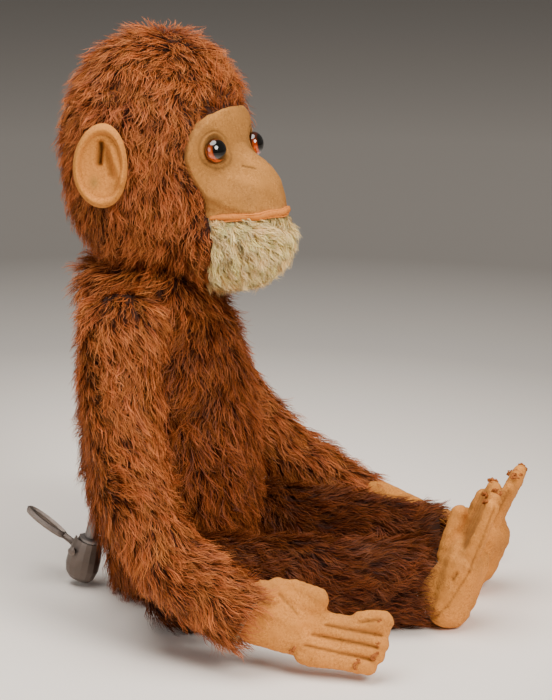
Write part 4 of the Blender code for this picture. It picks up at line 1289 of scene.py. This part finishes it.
def area_light(name, place, target, size, power, colour):
    data = bpy.data.lights.new(name, "AREA")
    data.shape = "DISK"
    data.size = size
    data.energy = power
    data.color = colour
    light = bpy.data.objects.new(name, data)
    light.location = place
    light.rotation_euler = (Vector(target) - Vector(place)).to_track_quat("-Z", "Y").to_euler()
    bpy.context.scene.collection.objects.link(light)


def make_stage():
    """A pale floor under soft studio light, and a grey surround."""
    half = 6  # of the floor's side
    square = [(-half, -half, 0), (half, -half, 0), (half, half, 0), (-half, half, 0)]
    new_object("floor", mesh_of("floor", square, [(0, 1, 2, 3)]), "floor")
    world = bpy.data.worlds.new("surround")
    world.use_nodes = True
    grey = {"Color": (0.2, 0.19, 0.18, 1), "Strength": 0.6}
    set_inputs(world.node_tree.nodes["Background"], grey)
    bpy.context.scene.world = world
    area_light("key", (-0.75, -0.85, 0.95), (0, -0.03, 0.11), 0.7, 20, (1, 0.96, 0.91))
    area_light("top", (-0.1, 0.05, 1.1), (0, -0.05, 0.08), 0.9, 15, (1, 0.98, 0.95))
    area_light("side", (-0.9, 0.7, 0.5), (0, 0, 0.12), 0.8, 4, (0.95, 0.97, 1))


def make_materials():
    """A felt has four colours: light, middle and dark fibres, and soil."""
    board = ((0.3, (0.1, 0.06, 0.03)), (0.7, (0.3, 0.2, 0.11)))
    straw = ((0.35, (0.22, 0.13, 0.05)), (0.65, (0.62, 0.48, 0.26)))
    MATERIALS.update(
        pile=pile_material(),
        # The backings are as dark as the pile's roots: painted shade between the strands
        backing=pelt_material("mohair_backing", (0.02, 0.005, 0.002), (0.085, 0.022, 0.007)),
        cream_backing=pelt_material("cream_backing", (0.3, 0.23, 0.13), (0.62, 0.54, 0.38)),
        felt=felt_material(
            "tan_felt", (0.86, 0.37, 0.085), (0.62, 0.235, 0.045), (0.28, 0.085, 0.014), (0.32, 0.13, 0.035)
        ),
        face_felt=felt_material(
            "face_felt", (0.7, 0.32, 0.085), (0.46, 0.195, 0.045), (0.2, 0.072, 0.015), (0.22, 0.1, 0.035)
        ),
        piping=felt_material(
            "lip_felt", (0.82, 0.31, 0.065), (0.68, 0.22, 0.04), (0.42, 0.11, 0.018), (0.4, 0.14, 0.03)
        ),
        frayed_felt=felt_material(
            "frayed_felt", (0.75, 0.3, 0.08), (0.42, 0.12, 0.025), (0.14, 0.03, 0.008), (0.14, 0.04, 0.012)
        ),
        glass=glass_material(),
        worn_tin=tin_material("worn_tin", (0.02, 0.013, 0.01), (0.24, 0.19, 0.16), 0.4),
        dark_tin=tin_material("dark_tin", (0.05, 0.038, 0.032), (0.25, 0.22, 0.2), 0.5),
        steel=tin_material("plain_steel", (0.2, 0.19, 0.18), (0.5, 0.49, 0.48), 0.35),
        board=grained("fibre_board", 0.85, (800, 6, 0.7), board, 0.4, 0.0003),
        straw=grained("wood_wool", 0.9, (420, 5, 0.6, 4), straw, 1, 0.0015),
        floor=floor_material(),
    )


def corners(bounds):
    return [list(map(float, corner)) for corner in bounds]


def main():
    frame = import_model()
    nodes, joints = frame["nodes"], frame["joints"]
    make_materials()
    make_camera()
    make_stage()
    make_torso(nodes)
    make_ruff()
    for side in SIDES:
        make_arm(side, nodes)
        make_leg(side, nodes)
        make_hand(side, nodes, joints)
        make_foot(side, nodes, joints)
    make_head(nodes, joints)
    dress_nodes(nodes)


main()
